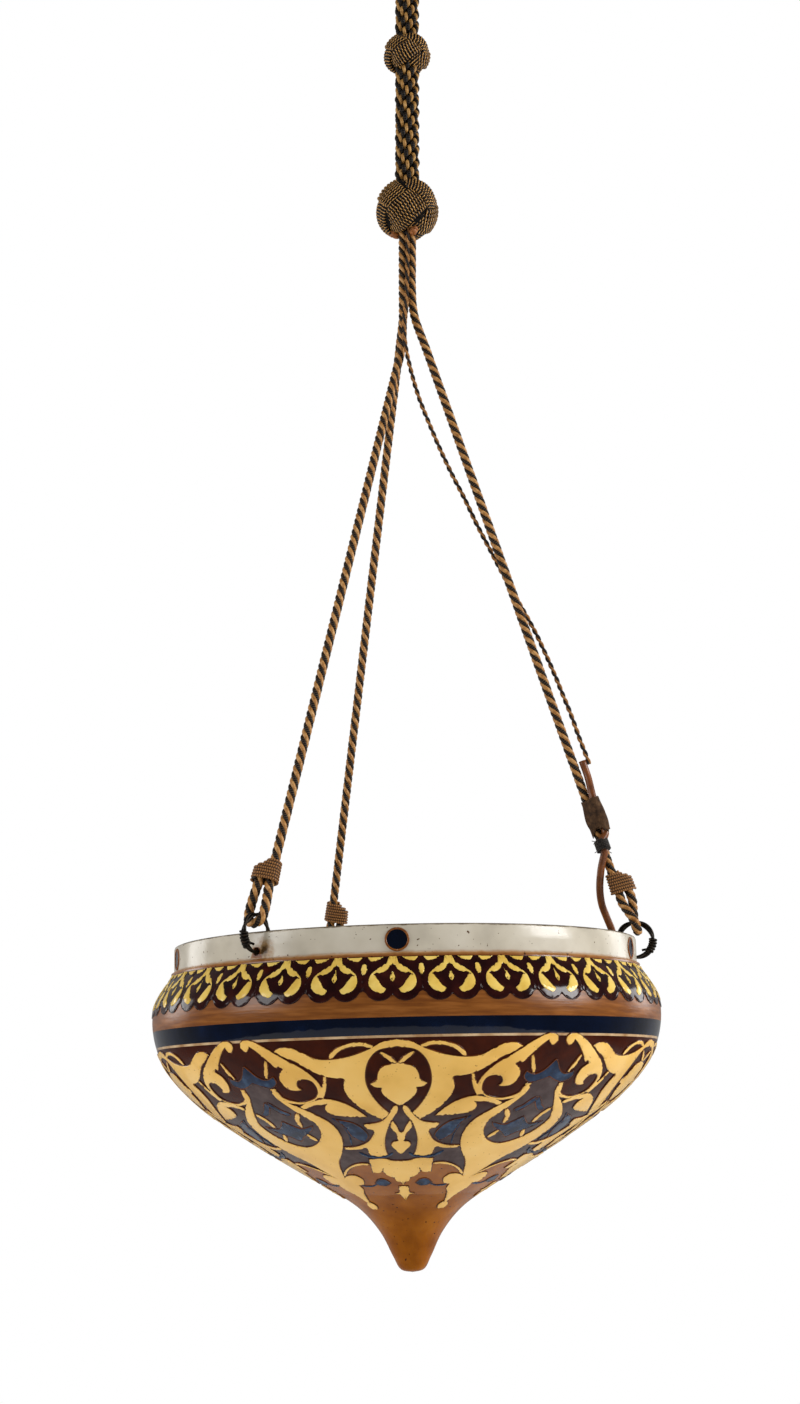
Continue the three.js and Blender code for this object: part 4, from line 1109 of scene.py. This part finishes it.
# Rope: six hard-twisted strands of a black and a gold ply, laid round a core
half_steps = range(round(ROPE_TOP * 2), round(BALL_CENTRE * 2), -1)
middle_line = [Vector((0, 0, z / 2)) for z in half_steps]
black, gold = [], []
for k in range(6):
    strand = laid(middle_line, STRAND_RING, 62, k * pi / 3, 1)
    black.append(laid(strand, 1.3, 9, k * 2.3))
    gold.append(laid(strand, 1.3, 9, k * 2.3 + pi))
rope = wires(
    "rope_black", black, 1.65, 8, [gimp_dark],
    [f"rope_strand_{k + 1}" for k in range(6)],
)
wires("rope_gold", gold, 1.3, 8, [silk_gold])
core = [laid(middle_line, 1.4, 12, k * pi) for k in range(2)]
wires("rope_core_laid", core, 1.45, 8, [flex_dark], ["rope_core_flex"])
filling = [laid(middle_line, 2.6, 40, k * pi) for k in range(2)]
wires("rope_filling", filling, 3, 8, [core_cotton_gap_shade])


def knot(name, centre, radius, height, bights, passes, thickness, reach):
    """A woven ball: one band of passes of gimp, led three times round, over and under itself,
    with that many bights at its top and its foot, where its tilt is the reach."""
    leads, steps = 3, 400
    lane_width, weave, deepest = thickness * 0.97, thickness * 0.5, thickness * 0.79
    lines = []
    for lane in range(passes):
        side = (lane - (passes - 1) / 2) * lane_width
        line = []
        for i in range(steps):
            u = 2 * pi * leads * i / steps
            tilt = reach * cos(bights * u / leads)
            way = Vector((cos(tilt), -reach * bights / leads * sin(bights * u / leads)))
            way.normalize()
            out = radius - deepest + weave * sin(2 * bights * u / leads)
            u -= side / radius * way.y / max(cos(tilt), 0.3)
            tilt += side / radius * way.x
            rise = out * height / 2 / radius * sin(tilt)
            line.append(from_front(out * cos(tilt), u, centre + rise))
        lines.append(evenly(line + line[:1], KNOT_RIB / 5)[:-1])
    wires(
        f"{name}_woven", lines, thickness * 0.44, 8, [gimp_bronze], [name],
        swell=beads(KNOT_RIB, 0.18), closed=True,
    )


knot("ball_knot", BALL_CENTRE, 23.4, 46, 4, 7, 3.1, radians(46))
knot("collar_knot", COLLAR_CENTRE, 17.8, 31, 4, 5, 2.9, radians(40))
# Cores of the knots: near black, painted shade where the weave leaves gaps
for name, centre, radius, height in (
    ("ball_core", BALL_CENTRE, 19.2, 38), ("collar_core", COLLAR_CENTRE, 13.8, 25),
):
    lines = []
    for k in range(-5, 6):
        tilt = asin(k / 7)
        lines.append([from_front(
            radius * cos(tilt), t * pi / 45, centre + height / 2 * sin(tilt),
        ) for t in range(90)])
    wires(name, lines, height / 14 * 1.06, 6, [core_cotton_gap_shade], closed=True)

# Two tucks of rust silk that show where the cords leave the ball
tucks = []
for azimuth, tip, size in ((25, -57, 1), (-108, -49, 0.9)):
    line = []
    for i in range(13):
        tilt, turn = radians(tip - 22 * i / 12), radians(azimuth + 10 * sin(i / 12 * pi))
        line.append(from_front(20.5 * cos(tilt), turn, BALL_CENTRE + 21.5 * sin(tilt)))
    tucks += [laid(line, 1.3 * size, 11, k * 2 * pi / 3) for k in range(3)]
wires(
    "silk_tucks", tucks, 1.9, 8, [silk_rust],
    swell=lambda gone, whole: 0.45 + 0.55 * sin(pi * gone / whole),
)


# Tape and thread that hold the cable to the right cord, in mm above the tip
TAPE_TOP, TAPE_LENGTH, THREAD_TOP = 309, 22, 281.5


def sleeve_point(height, side, front, wide, share):
    """Point of an oval round the right cord and what lies to its side and its front."""
    toward = Vector((side, front))
    along = toward / hypot(side, front)
    angle = 2 * pi * share
    flat = (along * cos(angle) + Vector((-along.y, along.x)) * sin(angle)) * wide
    flat += toward * eased(0.5 + cos(angle) * 1.2)
    return beside_right(height, flat.x, flat.y)


tape = bmesh.new()
rows, around = 22, 56
for i in range(rows):
    down, ring = i / (rows - 1), []
    for k in range(around):
        turn = 2 * pi * k / around
        fold = sin(2 * turn + 4 * down) * sin(pi * down) + 0.5 * sin(5 * turn - 9 * down)
        ragged = (1.7 * sin(3 * turn + 1) + 0.9 * sin(11 * turn)) * (i > rows - 3)
        height = TAPE_TOP - TAPE_LENGTH * down - 0.7 * fold - ragged
        wide = 4.2 + 0.75 * sin(pi * down) ** 2 + 0.3 * fold - 0.25 * (1 - down)
        ring.append(tape.verts.new(sleeve_point(
            height, TAPED_SIDE, TAPED_FRONT, wide, k / around,
        )))
    loop = [tape.edges.new((ring[k - 1], ring[k])) for k in range(around)]
    if i:
        bmesh.ops.bridge_loops(tape, edges=before + loop)
    before = loop
bmesh.ops.recalc_face_normals(tape, faces=tape.faces)
tape = piece("tape_wrap", tape, [cloth_tape], ["tape_sleeve"], sharp=None)
cloth = tape.modifiers.new("cloth", "SOLIDIFY")
cloth.thickness, cloth.offset = 0.7 * METRE, -1
# Seven turns of thread, 1 mm apart, and the frayed ends that stand out of them
bound = [sleeve_point(
    THREAD_TOP - i / 30, 0, TAPED, 4.1 + 0.35 * sin(i * 0.21), i / 30,
) for i in range(7 * 30 + 1)]
hairs = []
for k in range(9):
    start = sleeve_point(
        THREAD_TOP - 0.5 - 6 * random.random(), 0, TAPED, 4.3, random.random(),
    )
    way = [random.uniform(*reach) for reach in ((-1, 1), (-0.6, 0.2), (-1, 0.6))]
    bend = [random.uniform(*reach) for reach in ((-1, 1), (-0.5, 0.5), (-1, 0.3))]
    way = Vector(way).normalized() * random.uniform(3, 6)
    hairs.append([start + way * w + Vector(bend) * 1.6 * w * w for w in (0, 0.2, 0.4, 0.6, 0.8, 1)])
wires("thread_bound", [bound], 0.62, 8, [dark_thread], ["thread_binding"])
wires("frayed_thread", hairs, 0.26, 6, [dark_thread])

# Ceiling fitting: plate with three screws, its hook, and the ring that hangs in it
plate = spun([
    (3.85, -1.5), (3.85, -18), (4.6, -18.9), (6.4, -19.2), (8.8, -19), (10, -18), (10.4, -14.5),
    (11.3, -11), (12.8, -7.8), (15.6, -5.6), (18.5, -5), (43.2, -5), (44.6, -4.4), (45, -3.2),
    (45, 0), (0, 0), (0, -1.5),
], 120)
plate = piece("ceiling_rose", plate, [forged_iron], ["ceiling_plate"], "ceiling")
screws = [Matrix.Rotation(radians(a), 4, "Z") @ Vector((34, 0, 0)) for a in (30, 150, 270)]
holes = bmesh.new()
for place in map(Matrix.Translation, screws):
    hole = [(0, -6), (4.75, -6), (4.75, -5), (2.35, -2.8), (2.35, 1), (0, 1)]
    hole = mesh_of(spun(hole, 32, place, closed=False), "hole", 1)
    holes.from_mesh(hole)
    bpy.data.meshes.remove(hole)
cut_away(plate, holes)
for k, place in enumerate(map(Matrix.Translation, screws)):
    screw = piece(f"rose_screw_{k + 1}", spun([
        (0, -5.3), (2.4, -5.2), (4.2, -4.85), (2.1, -2.8), (2, -2), (2, 18), (0.4, 22.6), (0, 23),
    ], 32, place, closed=False), [dull_steel], [f"ceiling_screw_{k + 1}"], "ceiling")
    slit = bmesh.new()
    bmesh.ops.create_cube(slit, size=1)
    bmesh.ops.scale(slit, vec=(10, 1, 1.6), verts=slit.verts)
    turn = Matrix.Rotation(0.5 + k * 1.9, 3, "Z")
    bmesh.ops.rotate(slit, cent=(0, 0, 0), matrix=turn, verts=slit.verts)
    bmesh.ops.transform(
        slit, matrix=place @ Matrix.Translation((0, 0, -5.2)), verts=slit.verts,
    )
    cut_away(screw, slit)
    thread = laid([place @ Vector((0, 0, z / 4)) for z in range(12, 72)], 1.95, 1.6, 0)
    wires(
        f"screw_thread_{k + 1}", [evenly(thread, 0.4)], 0.35, 6, [dull_steel],
        body="ceiling",
    )
hook_line = [(0, 0, -1.85), (0, 0, -11.5), (0, 0, -18), (0.68, 0, -20.92), (11.9, 0, -27.55)]
hook_line += [(17 * cos(radians(a)), 0, -42 + 17 * sin(radians(a))) for a in range(0, -181, -20)]
hook_line += [(-17, 0, -37.75), (-19.55, 0, -31.8)]
wires(
    "iron_hook", [evenly(smoothed(hook_line, 0.8), 1)], 3.5, 24, [forged_iron],
    ["ceiling_hook"], "ceiling",
    swell=lambda gone, whole: min(1, 0.72 + 0.28 * (whole - gone) / 12),
)
link, eye = [], []
for i in range(72):
    across, up = sin(2 * pi * i / 72), cos(2 * pi * i / 72)
    link.append(Vector((0, 16 * across, -68.65 + 16 * up)))
    eye.append(Vector((10 * across, 0, -89.3 + 10 * up)))
stem = [Vector((0, 0, z)) for z in (-99.3, -105, -110.3)]
wires("iron_link", [link], 2.5, 16, [forged_iron], ["link_ring"], "link", closed=True)
wires("eye_ring", [eye], 2.5, 16, [forged_iron], ["rope_eye"], closed=True)
wires("eye_ring_stem", [stem], 2.5, 24, [forged_iron], sharp=40)
nut = rod(6.5 / cos(pi / 6), 6, 6, Matrix.Translation((0, 0, -107.3)))
bmesh.ops.bevel(
    nut, geom=nut.verts[:] + nut.edges[:], offset=0.5, affect="EDGES", segments=2, profile=0.5,
    material=-1,
)
nut = piece("hexagon_nut", nut, [dull_steel], ["eye_nut"], sharp=30)
cut_away(nut, spun([(0, -112), (2.85, -112), (2.85, -102), (0, -102)], 32, closed=False))
piece("turned_cup", spun([
    (2.85, -102.35), (3.1, -102.15), (8.2, -102.15), (9.4, -102.6), (10.9, -105.4), (11.4, -107.2),
    (11.55, -109), (11.2, -112), (11.55, -115), (11.55, -124), (11.2, -126), (11.6, -127.4),
    (12.6, -130), (12.95, -131.5), (12.95, -132.7), (12.5, -133.15), (10.1, -133.15),
    (9.75, -132.7), (9.75, -107.15), (8.65, -103.95), (2.85, -103.95),
]), [turned_beech], ["rope_cup"], sharp=50)

# Lampholder on its tray inside the bowl, and the bulb; heights are above the bowl's tip
tray_edge = []
for height in (72.4, 74, 76, 78, 79):
    i = next(k for k in range(1, len(inner_wall)) if inner_wall[k][1] < height)
    (r0, z0), (r1, z1) = inner_wall[i - 1], inner_wall[i]
    tray_edge.append((r0 + (r1 - r0) * (height - z0) / (z1 - z0) - 0.9, height))
tray = [(5.35, 72.4), (5.9, 72), (tray_edge[0][0] - 1, 72)] + tray_edge
tray += [(tray_edge[-1][0] - 1, 79.3), (26, 79), (25, 78.6), (24, 79), (5.6, 79), (5.35, 78.7)]
skirt = [(19, 105.9), (19.2, 105.7), (20.8, 105.7), (21, 105.9)]
for k in range(6):
    z = 108.6 + 3 * k
    skirt += [(21, z), (20.55, z + 0.5), (20.55, z + 0.9), (21, z + 1.4)]
skirt += [(21, 129.9), (20.2, 130.7), (17.5, 130.7), (17, 130.2), (17, 127.7), (19, 125.7)]
dome = [
    (5.35, 79.35), (17, 79.35), (18.4, 79.7), (19.8, 81), (20.7, 82.6), (21, 84.5), (21, 87.6),
    (20.5, 88.1), (21, 88.6), (21, 104.9), (20.6, 105.35), (19.2, 105.35), (19, 105.1), (19, 97),
    (17, 95), (17, 81.35), (5.35, 81.35),
]
tray = spun(tray, 120, BOWL)
piece("turned_tray", tray, [turned_beech], ["holder_tray"], sharp=50)
dome = spun(dome, place=BOWL)
dome = piece("holder_dome", dome, [brown_moulding], ["holder_cap"], sharp=50)
entry = BOWL @ Matrix.Translation((20, 0, HOLDER_ENTRY)) @ Matrix.Rotation(pi / 2, 4, "Y")
cut_away(dome, rod(2.85, 16, 32, entry))
skirt = spun(skirt, place=BOWL)
piece("grooved_skirt", skirt, [brown_moulding], ["holder_skirt"], sharp=50)

THREAD_PITCH = 3.6
for name, inner, outer, low, high, bead, body, material, stands_for in (
    ("rolled_shell", 13.7, 14.9, 105.7, 126.7, 0.9, "pendant", old_brass, "thread_sleeve"),
    ("rolled_cap", 12.3, 12.85, 113.65, 134.65, 0.6, "bulb", dull_steel, "bulb_cap"),
):
    sleeve = spun([(inner, low), (outer, low), (outer, high), (inner, high)], 72, BOWL)
    piece(name, sleeve, [material], [stands_for], body, 50)
    thread = [BOWL @ Vector((
        (outer - 0.25) * cos(a / 9), (outer - 0.25) * sin(a / 9),
        low + 2.2 + THREAD_PITCH * a / 9 / 2 / pi,
    )) for a in range(int(9 * 2 * pi * (high - low - 4.4) / THREAD_PITCH))]
    wires(f"{name}_thread", [thread], bead, 8, [material], body=body)

# Bulb: a neck, then a round globe whose wall is thinner towards its top
globe = [(11.95, 122.65), (11.95, 136.65)]
globe += [(22.5 * cos(radians(a)), 157.15 + 22.5 * sin(radians(a))) for a in range(-52, 90, 6)]
globe = [(p.x, p.y) for p in evenly(smoothed(globe + [(0, 179.65)], 1), 1.2)]
globe[-1] = (0, 179.65)
inside = [(max(r - 1, 0), z - 0.9 * max(0, (z - 150) / 30)) for r, z in globe]
inside[-1] = (0, 178.65)
globe = spun(globe + inside[::-1], 96, BOWL, closed=False)
piece("opal_globe", globe, [opal_glass], ["bulb_glass"], "bulb", None)

# Small parts that stay as the solids have them
for name, material in (
    ("holder_nipple", old_brass), ("holder_locknut", old_brass), ("holder_insert", porcelain),
    ("centre_contact", old_brass), ("bulb_contact", solder), ("bulb_insulator", black_glass),
):
    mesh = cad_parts[name].data
    mesh.materials.clear()
    mesh.materials.append(material)


# Studio: plain white to the eye and through glass, a dim glow, brighter behind the lamp, for
# gloss and metal to show, and half strength for the light that falls on it
world = bpy.data.worlds.new("studio")
bpy.context.scene.world = world
world.use_nodes = True
tree = world.node_tree
tree.nodes.clear()
rays = add(tree, "LightPath")
toward = add(tree, "TexCoord")["Generated"]
behind = add(tree, "SeparateXYZ", {0: toward})["Y"]
mirrored = add(tree, "MapRange", {0: behind, 1: 0.1, 2: 0.8, 3: 0.1, 4: 0.32})[0]
seen = {0: rays["Is Camera Ray"], 1: rays["Is Transmission Ray"]}
seen = add(tree, "Math", seen, operation="MAXIMUM")[0]
strength = add(tree, "Mix", {0: rays["Is Glossy Ray"], 2: 0.5, 3: mirrored}, data_type="FLOAT")[0]
strength = add(tree, "Mix", {0: seen, 2: strength, 3: 1.0}, data_type="FLOAT")[0]
sky = add(tree, "Background", {"Color": "#FFFFFF", "Strength": strength})
add(tree, "OutputWorld", {"Surface": sky[0]})

# Lamps: a strong key from the right, a fill from the left, and two faint ones from behind
for name, place, aim, size, power in (
    ("key", (2.9, -0.9, 0.2), (0, 0, -0.85), 1.2, 76),
    ("fill", (-2.8, -1.1, -0.1), (0, 0, -0.85), 1.2, 31),
    ("left_strip", (-2.2, 1.3, -0.5), (0, 0, -0.9), 0.8, 7),
    ("right_strip", (2.1, 1.5, -0.4), (0, 0, -0.9), 0.8, 7),
):
    light = bpy.data.lights.new(name, "AREA")
    light.size, light.energy = size, power
    lamp = placed(name, light)
    lamp.location = place
    lamp.rotation_euler = (Vector(aim) - lamp.location).to_track_quat("-Z", "Y").to_euler()

floor = bmesh.new()
bmesh.ops.create_circle(floor, cap_ends=True, segments=96, radius=2.6)
bmesh.ops.translate(floor, vec=(0, 0, -1.95), verts=floor.verts)
floor = placed("floor", mesh_of(floor, "floor", 1))
# Painted board, rolled: plain pale grey, matt
floor.data.materials.append(finish_of("painted_board", "#F2F1EE", Roughness=0.7))

bpy.context.scene.view_settings.view_transform = "Standard"
